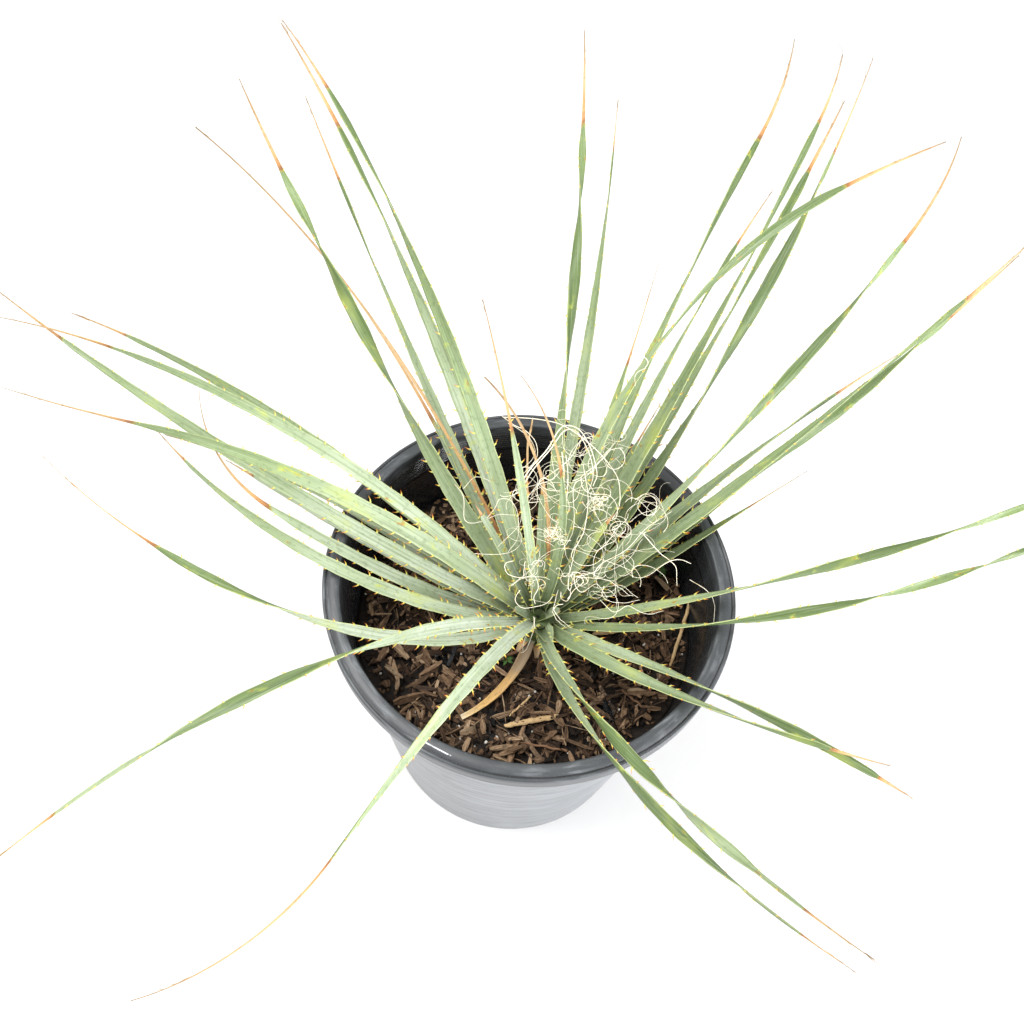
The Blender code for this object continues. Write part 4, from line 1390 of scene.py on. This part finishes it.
@dataclass
class Rosette:
    """All the leaves, and the crown with the bases that clasp it."""

    skin: bpy.types.Material
    old_skin: bpy.types.Material
    maker: LeafMaker = field(default_factory=LeafMaker)
    young: LeafMaker = field(default_factory=lambda: LeafMaker(rows=24, root_depth=0.017, keel=0.22))
    dry_from: float = 0.7
    dead_number: int = 60
    inset: float = 0.0012
    stump_radius: float = 0.009
    stump_depth: float = 0.0255
    crown_sides: int = 48
    crown_rows: int = 40
    crown_climbs: tuple[float, float] = (88, -58)
    pit: float = 0.66
    pit_reach: float = 0.80
    scar_depth: float = 0.035
    shade: float = 0.75
    pit_shade: float = 0.5
    pit_shade_reach: float = 0.45
    golden_angle: float = 137.5
    sheaths: int = 15
    inner_bases: int = 5

    def crown_body(self) -> Shape:
        """Turns the crown's outline round its axis, with a hollow in its top.

        The ball's point at climb c and angle a is heart + R (cos c cos a, cos c sin a, sin c), with R less in
        a pit round the top and wrinkled by the leaf scars. The stump goes on down below.

        Returns:
            The crown's body.
        """
        angles = full_turn(self.crown_sides)
        climb = np.linspace(*np.radians(self.crown_climbs), self.crown_rows)[:, None]
        from_top = np.pi / 2 - climb
        pit = 1 - self.pit * np.exp(-((from_top / self.pit_reach) ** 2))
        scars = np.abs(np.sin(climb * 9)) * np.cos(angles * 8 + np.round(climb * 3) * 0.4)
        radius = (CROWN_RADIUS - self.inset) * pit * (1 + self.scar_depth * scars)
        stump = ring(angles, self.stump_radius, SOIL_LEVEL - self.stump_depth - HEART[2])
        grid = np.concatenate([radius[..., None] * towards(climb, angles), stump[None]]) + HEART
        deep = self.shade + self.pit_shade * np.exp(-((from_top / self.pit_shade_reach) ** 2))
        # The crown is painted as a shaded underside with the lowest tone, with painted shade over it and a
        # painted shadow in its pit.
        cast = spread(0.0, 0.0, np.vstack([deep, [[self.shade]]]))
        return loft(grid[None], {"grain": grid, "state": np.array((-3.0, 0.0, 0.3)), "cast": cast})

    def sheath(self, number: int) -> Shape:
        """Returns one short, broad leaf base that clasps the crown, set on by the golden angle."""
        turn, rise = (number * self.golden_angle) % 360, -24 + 34 * number / self.sheaths
        base = Leaf(turn, rise, 0, 0.011, 14, 0, 0, 0, 0.014, 0.90)
        return self.maker.blade(base, Look(number * 0.7, 0.3))

    def inner_base(self, number: int) -> Shape:
        """Returns one of the young, spoon-like bases that close round the heart."""
        turn, rise = 150 + number * self.golden_angle, 32 + 8 * number
        base = Leaf(turn, rise, 0, 0.024 - 0.002 * number, 12, 0, 0, 0, 0.0145 - 0.001 * number, 0.10)
        made = self.young.blade(base, Look(5 + number * 0.7, 0.55))
        # A light painted shade, 0.12, in place of the root's.
        made.marks["cast"] = made.marks["cast"] * LEVEL + 0.12 * UP
        return made

    def make(self) -> None:
        """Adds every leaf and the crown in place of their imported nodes."""
        for number, leaf in enumerate(LEAVES, 1):
            slot = "dry_leaf" if leaf.dry > self.dry_from else "leaf_green"
            node = f"leaf_{number:02d}"
            make_piece(self.maker.shape(leaf, number), f"spoon_{node}", self.skin, [node])
        dead = self.maker.shape(DEAD_LEAF, self.dead_number)
        make_piece(dead, "old_dry_leaf", self.old_skin, ["dead_leaf"])
        bases = [self.sheath(number) for number in range(self.sheaths)]
        bases += [self.inner_base(number) for number in range(self.inner_bases)]
        crown = joined([self.crown_body(), *bases])
        make_piece(crown, "crown_of_bases", self.skin, ["crown"])


@dataclass
class Threads:
    """Anything thin that lies where the camera sees it: fibres, sticks, straws and weeds."""

    eye: Eye
    rows: int = 72
    sides: int = 5

    def route(self, places: Sequence[Vec], level: float, waver: float, number: int) -> np.ndarray:
        """Passes a line through places that the camera sees.

        Args:
            places: pixel x, pixel y and height over the level in millimetres, in order.
            level: the height that those heights start from, in metres.
            waver: how far it sways off its way, in metres.
            number: number that sets its sway apart.

        Returns:
            The line's points, as one tube's.
        """
        table = np.array(places, float)
        path = smooth_route(self.eye.at_height(table[:, :2], level + table[:, 2] / 1000), self.rows)
        turn = np.linspace(0, 2 * np.pi, self.rows)[:, None]
        sway = np.sin(turn * (3, 4, 5) + np.array((0.0, 2.1, 4.2)) + number)
        return (path + waver * sway)[None]

    def marks(self, paths: np.ndarray, number: float) -> dict[str, np.ndarray]:
        """Marks the points with the distance along their line and its number."""
        far = np.cumsum(np.linalg.norm(np.diff(paths, axis=1, prepend=paths[:, :1]), axis=2), axis=1)
        return {"grain": spread(0.0, far, number + np.arange(len(paths))[:, None])}

    def spun(self, paths: np.ndarray, radii: np.ndarray, number: float) -> Shape:
        """Returns round threads along paths."""
        return tubes(paths, radii, self.sides, self.marks(paths, number))

    def flat(self, path: np.ndarray, width: float, thickness: float, number: float) -> Shape:
        """Returns one flat straw, a little narrower at both ends."""
        share = np.linspace(-1, 1, self.rows)[None]
        widths = width * (1 - 0.5 * share**6) * (1 + 0.08 * np.sin(share * 23 + number))
        return strips(path, widths, thickness, self.marks(path, number))


@dataclass(frozen=True)
class Tuft:
    """One loose knot of fibres: its spot by pixel and height over the heart, and how they curl."""

    spot: Vec
    count: int
    spread: float
    length: tuple[float, float]
    loop: tuple[float, float]


@dataclass(kw_only=True)
class FibreTangle(Threads):
    """The curly white fibres that the frayed young tips shed over the heart."""

    fibre: bpy.types.Material
    lowest: float = HEART[2] + 0.012
    waver: float = 0.00012
    thickness: tuple[float, float] = (0.00011, 0.00027)
    first_seed: int = 40

    def strands(self) -> Shape:
        """Returns the thick fibres, each on its own way."""
        thinner = 0.75 - 0.35 * np.linspace(0, 1, self.rows)[None] ** 2
        shapes = []
        for number, (radius, places) in enumerate(STRANDS):
            path = self.route(places, self.lowest, self.waver, number)
            shapes.append(self.spun(path, radius * thinner, number))
        return joined(shapes)

    def tangle(self, tuft: Tuft, seed: int) -> Shape:
        """Lets fibres curl round one spot.

        A fibre runs on in even steps whose heading and climb change by a curvature, and the curvature is a
        constant plus three slow sines. It is then moved so that its middle lies near the spot.

        Args:
            tuft: where the fibres are and how they curl.
            seed: start of the random numbers.

        Returns:
            The fibres as one shape.
        """
        chance = np.random.default_rng(seed)
        count = tuft.count
        share = np.linspace(0, 1, self.rows)
        length = chance.uniform(*tuft.length, (count, 1))
        curl = length / np.exp(chance.uniform(*np.log(tuft.loop), (count, 1)))
        waves = chance.uniform((0.3, 0.8, 1.6), (0.8, 1.6, 3.0), (count, 3)).T[..., None]
        phases = chance.uniform(0, 2 * np.pi, (3, count, 1))
        sizes = np.array((0.9, 0.7, 0.4))[:, None, None] * chance.uniform(0.3, 1.2, (3, count, 1))
        bend = chance.normal(0, 0.6, (count, 1))
        bend = bend + (sizes * np.sin(2 * np.pi * waves * share + phases)).sum(axis=0)
        heading = chance.uniform(-np.pi, np.pi, (count, 1)) + curl * np.cumsum(bend, axis=1) / self.rows
        climb = chance.uniform(0.1, 0.9, (count, 1)) * np.sin(2 * np.pi * waves[1] * share + phases[0])
        paths = np.cumsum(towards(climb, heading), axis=1) * (length / self.rows)[..., None]
        spot = self.eye.at_height([tuft.spot[:2]], self.lowest + tuft.spot[2] / 1000)
        middle = spot + chance.normal(0, tuft.spread, (count, 3)) * (1, 1, 0.6)
        paths = paths - paths.mean(axis=1, keepdims=True) + middle[:, None]
        radii = chance.uniform(*self.thickness, (count, 1)) * (1 - 0.5 * share)
        return self.spun(paths, radii, seed)

    def make(self) -> None:
        """Adds the strands and the tufts."""
        make_piece(self.strands(), "fibre_strands", self.fibre)
        tufts = [self.tangle(tuft, seed) for seed, tuft in enumerate(TUFTS, self.first_seed)]
        make_piece(joined(tufts), "fibre_tufts", self.fibre)


STRANDS = (
    (0.00060, (
        (518, 488, 96), (530, 469, 104), (547, 450, 110), (562, 427, 116), (578, 429, 118), (589, 444, 114),
        (595, 463, 108), (597, 476, 104), (593, 486, 100),
    )),
    (0.00050, (
        (520, 490, 96), (533, 470, 104), (550, 450, 110), (564, 431, 116), (577, 432, 118), (586, 446, 114),
        (592, 464, 108), (593, 478, 102), (588, 492, 96),
    )),
    (0.00045, (
        (503, 417, 112), (536, 419, 116), (562, 425, 119), (585, 440, 118), (605, 459, 112), (616, 475, 106),
        (620, 490, 100), (619, 507, 94), (612, 519, 88),
    )),
    (0.00038, (
        (451, 480, 60), (463, 496, 62), (465, 520, 62), (480, 522, 64), (497, 515, 68), (516, 515, 72),
    )),
    (0.00050, ((562, 452, 104), (564, 476, 98), (562, 507, 88), (555, 530, 76), (545, 538, 68))),
    (0.00042, ((566, 455, 104), (568, 480, 98), (566, 505, 88), (563, 533, 74), (566, 556, 64))),
    (0.00040, (
        (635, 500, 70), (645, 494, 72), (656, 500, 72), (655, 512, 70), (645, 515, 69), (638, 508, 69),
        (642, 498, 70), (654, 497, 71), (660, 506, 70), (652, 517, 69),
    )),
    (0.00045, ((643, 534, 80), (660, 553, 72), (675, 566, 62), (677, 586, 52))),
    (0.00038, ((553, 609, 40), (560, 619, 32), (571, 628, 24))),
    (0.00036, ((552, 611, 38), (557, 620, 32), (566, 628, 24))),
    (0.00042, ((534, 617, 40), (533, 626, 30), (526, 635, 20), (523, 647, 8), (523, 652, 2))),
    (0.00042, ((535, 618, 40), (533, 632, 24), (529, 643, 12), (526, 650, 4), (521, 653, 2))),
    (0.00038, (
        (513, 561, 66), (506, 563, 64), (505, 568, 62), (508, 574, 60), (516, 577, 58), (530, 577, 56),
        (543, 577, 56), (550, 580, 56),
    )),
    (0.00034, ((525, 561, 66), (524, 570, 62), (523, 579, 58))),
    (0.00040, (
        (573, 572, 62), (569, 578, 58), (568, 586, 54), (570, 590, 52), (572, 583, 54), (574, 574, 60),
    )),
    (0.00040, (
        (574, 574, 62), (575, 584, 56), (578, 590, 52), (583, 592, 50), (590, 587, 52), (597, 584, 54),
        (602, 590, 52), (607, 598, 48),
    )),
    (0.00040, ((575, 577, 60), (588, 574, 60), (598, 570, 62), (603, 561, 66))),
    (0.00038, ((576, 577, 60), (593, 578, 58), (607, 580, 58), (620, 588, 56), (630, 596, 52))),
    (0.00034, (
        (561, 592, 52), (561, 598, 50), (566, 601, 48), (570, 597, 49), (570, 591, 52), (567, 588, 54),
    )),
    (0.00034, ((604, 586, 54), (602, 594, 50), (607, 600, 46), (622, 603, 44), (640, 600, 44))),
    (0.00034, (
        (535, 604, 44), (534, 597, 48), (538, 588, 52), (537, 580, 56), (532, 574, 60), (528, 566, 64),
    )),
    (0.00036, ((563, 604, 42), (556, 606, 40), (553, 610, 38), (556, 598, 44), (558, 590, 48))),
    (0.00036, ((520, 590, 48), (515, 600, 44), (524, 608, 42), (545, 604, 44), (553, 596, 48))),
    (0.00040, ((583, 462, 100), (588, 500, 92), (584, 530, 84), (575, 550, 74), (570, 572, 62))),
    (0.00036, ((690, 580, 50), (706, 590, 44), (714, 602, 40), (714, 622, 36))),
    (0.00034, ((600, 600, 44), (614, 612, 44), (628, 606, 46), (646, 614, 40), (664, 611, 36))),
    (0.00042, (
        (502, 416, 112), (514, 425, 114), (526, 431, 112), (536, 443, 110), (537, 456, 106), (530, 467, 102),
        (520, 477, 98),
    )),
    (0.00034, (
        (508, 423, 110), (520, 430, 111), (530, 439, 110), (535, 450, 107), (531, 461, 103), (519, 471, 98),
    )),
    (0.00036, ((516, 474, 98), (523, 467, 100), (533, 470, 99), (538, 483, 96), (531, 497, 90))),
    (0.00038, (
        (581, 477, 100), (583, 488, 98), (592, 494, 97), (608, 495, 96), (617, 506, 93), (616, 517, 89),
        (610, 521, 86),
    )),
    (0.00032, (
        (579, 447, 112), (583, 435, 114), (591, 434, 114), (593, 444, 112), (586, 450, 110), (579, 458, 108),
    )),
    (0.00034, (
        (463, 489, 64), (476, 477, 70), (494, 484, 74), (502, 496, 76), (518, 493, 80), (526, 485, 84),
    )),
    (0.00034, (
        (486, 519, 70), (495, 508, 74), (500, 499, 78), (511, 501, 80), (517, 512, 80), (518, 537, 76),
        (508, 552, 70),
    )),
    (0.00030, ((636, 351, 205), (647, 360, 201), (646, 367, 197), (636, 374, 191), (635, 386, 182))),
)
TUFTS = (
    Tuft((582, 452, 106), 12, 0.006, (0.04, 0.12), (0.006, 0.016)),
    Tuft((562, 492, 96), 8, 0.009, (0.04, 0.12), (0.005, 0.016)),
    Tuft((598, 503, 94), 12, 0.0025, (0.015, 0.04), (0.002, 0.005)),
    Tuft((553, 535, 80), 14, 0.003, (0.02, 0.05), (0.002, 0.006)),
    Tuft((574, 578, 60), 8, 0.003, (0.02, 0.05), (0.002, 0.006)),
    Tuft((576, 530, 84), 8, 0.015, (0.05, 0.12), (0.006, 0.022)),
    Tuft((612, 520, 84), 7, 0.013, (0.05, 0.12), (0.006, 0.022)),
    Tuft((536, 586, 50), 4, 0.004, (0.015, 0.05), (0.003, 0.007)),
    Tuft((648, 506, 74), 5, 0.004, (0.03, 0.08), (0.004, 0.009)),
    Tuft((610, 588, 50), 6, 0.007, (0.03, 0.08), (0.004, 0.010)),
    Tuft((518, 520, 80), 5, 0.012, (0.04, 0.11), (0.008, 0.030)),
    Tuft((604, 440, 108), 4, 0.009, (0.03, 0.10), (0.006, 0.020)),
    Tuft((640, 556, 66), 5, 0.011, (0.04, 0.11), (0.008, 0.025)),
    Tuft((522, 566, 64), 4, 0.006, (0.03, 0.07), (0.004, 0.009)),
)


@dataclass(kw_only=True)
class Litter(Threads):
    """What lies on the mulch: sticks, straws, a pale piece of bark, weeds and one thin dry leaf."""

    brown: bpy.types.Material
    straw: bpy.types.Material
    weed: bpy.types.Material
    stick_waver: float = 0.0003
    straw_waver: float = 0.0002
    straw_thickness: float = 0.0006
    sprig_foot: float = 0.003
    sprig_leaves: int = 7
    sprig_turn: float = 2.4
    sprig_rows: int = 9
    sprig_reach: float = 0.006
    sprig_sag: float = 0.002
    sprig_width: float = 0.0026
    sprig_thickness: float = 0.0003

    def sprigs(self) -> Shape:
        """Returns the tiny weeds: short pointed leaves that spread from each spot."""
        shapes = []
        share = np.linspace(0, 1, self.sprig_rows)[:, None]
        profile = np.sin(np.pi * (0.12 + 0.86 * share.T))
        widths = np.tile(self.sprig_width * profile, (self.sprig_leaves, 1))
        for number, spot in enumerate(WEEDS):
            foot = self.eye.at_height([spot], SOIL_LEVEL + self.sprig_foot)
            way = ring(np.arange(self.sprig_leaves) * self.sprig_turn + number, 1.0, 0.5)
            paths = foot + self.sprig_reach * share * way[:, None] - self.sprig_sag * share**2 * UP
            shapes.append(strips(paths, widths, self.sprig_thickness, self.marks(paths, number)))
        return joined(shapes)

    def make(self) -> None:
        """Adds the sticks, the straws and the weeds."""
        sticks, straws = [], []
        for number, (radius, places) in enumerate(STICKS):
            knots = 1 + 0.12 * np.sin(np.linspace(0, 26, self.rows) + number)
            path = self.route(places, SOIL_LEVEL, self.stick_waver, number)
            sticks.append(self.spun(path, radius * knots[None], number))
        for number, (width, places) in enumerate(STRAWS):
            path = self.route(places, SOIL_LEVEL, self.straw_waver, number)
            straws.append(self.flat(path, width, self.straw_thickness, number))
        make_piece(joined(sticks), "brown_sticks", self.brown)
        make_piece(joined(straws), "dry_straws", self.straw)
        make_piece(self.sprigs(), "tiny_weeds", self.weed)


STICKS = (
    (0.0013, ((552, 645, 8), (528, 650, 7), (505, 655, 6), (470, 663, 5))),
    (0.0011, ((494, 738, 4), (530, 744, 5), (567, 751, 4))),
    (0.0009, ((402, 610, 4), (418, 596, 5), (436, 586, 5))),
    (0.0010, ((622, 690, 5), (634, 700, 5), (650, 712, 4))),
)
STRAWS = (
    (0.0040, ((504, 726, 6), (530, 721, 7), (559, 716, 6))),
    (0.0014, ((509, 716, 7), (520, 706, 8), (531, 696, 7))),
    (0.0030, ((592, 634, 7), (612, 632, 8), (628, 627, 7))),
    (0.0024, ((649, 614, 6), (668, 606, 8), (688, 600, 8))),
    (0.0026, ((690, 601, 8), (681, 632, 8), (670, 666, 6))),
    (0.0016, ((533, 418, 108), (528, 445, 100), (527, 480, 90), (528, 505, 80))),
)
WEEDS = ((660, 570), (507, 660), (418, 640), (664, 580))
CHARRED = ((446, 662), (474, 680), (492, 720), (608, 712), (413, 652))
SCRATCH = ((417, 738), (451, 756))


def main() -> None:
    """Makes the stage and the pieces in order."""
    logging.basicConfig(level=logging.INFO, format="%(name)s: %(message)s")
    eye = Eye()
    eye.make()
    Studio().make()
    pot = Pot(PotPlastic().build(eye.at_height(SCRATCH, POT_HEIGHT)))
    pot.make()
    grit = Fibre("pale_grit", screen(178, 174, 166), screen(120, 116, 110)).build()
    covered = DEAD_LEAF.frames(np.linspace(0, 1, 20))[0]
    PottingMix(pot, Bark().build(), grit, eye.at_height(CHARRED, SOIL_LEVEL), covered).make()
    old_skin = LeafSkin(name="old_straw", straw=OLD_STRAW).build()
    Rosette(LeafSkin().build(), old_skin).make()
    FibreTangle(eye=eye, fibre=Fibre().build()).make()
    brown = Fibre("brown_stick", screen(120, 88, 62), screen(74, 52, 38)).build()
    straw = Fibre("dry_straw", screen(186, 156, 112), screen(134, 98, 62)).build()
    weed = Fibre("weed_green", screen(70, 104, 44), screen(44, 74, 28)).build()
    Litter(eye=eye, brown=brown, straw=straw, weed=weed).make()


if __name__ == "__main__":
    main()
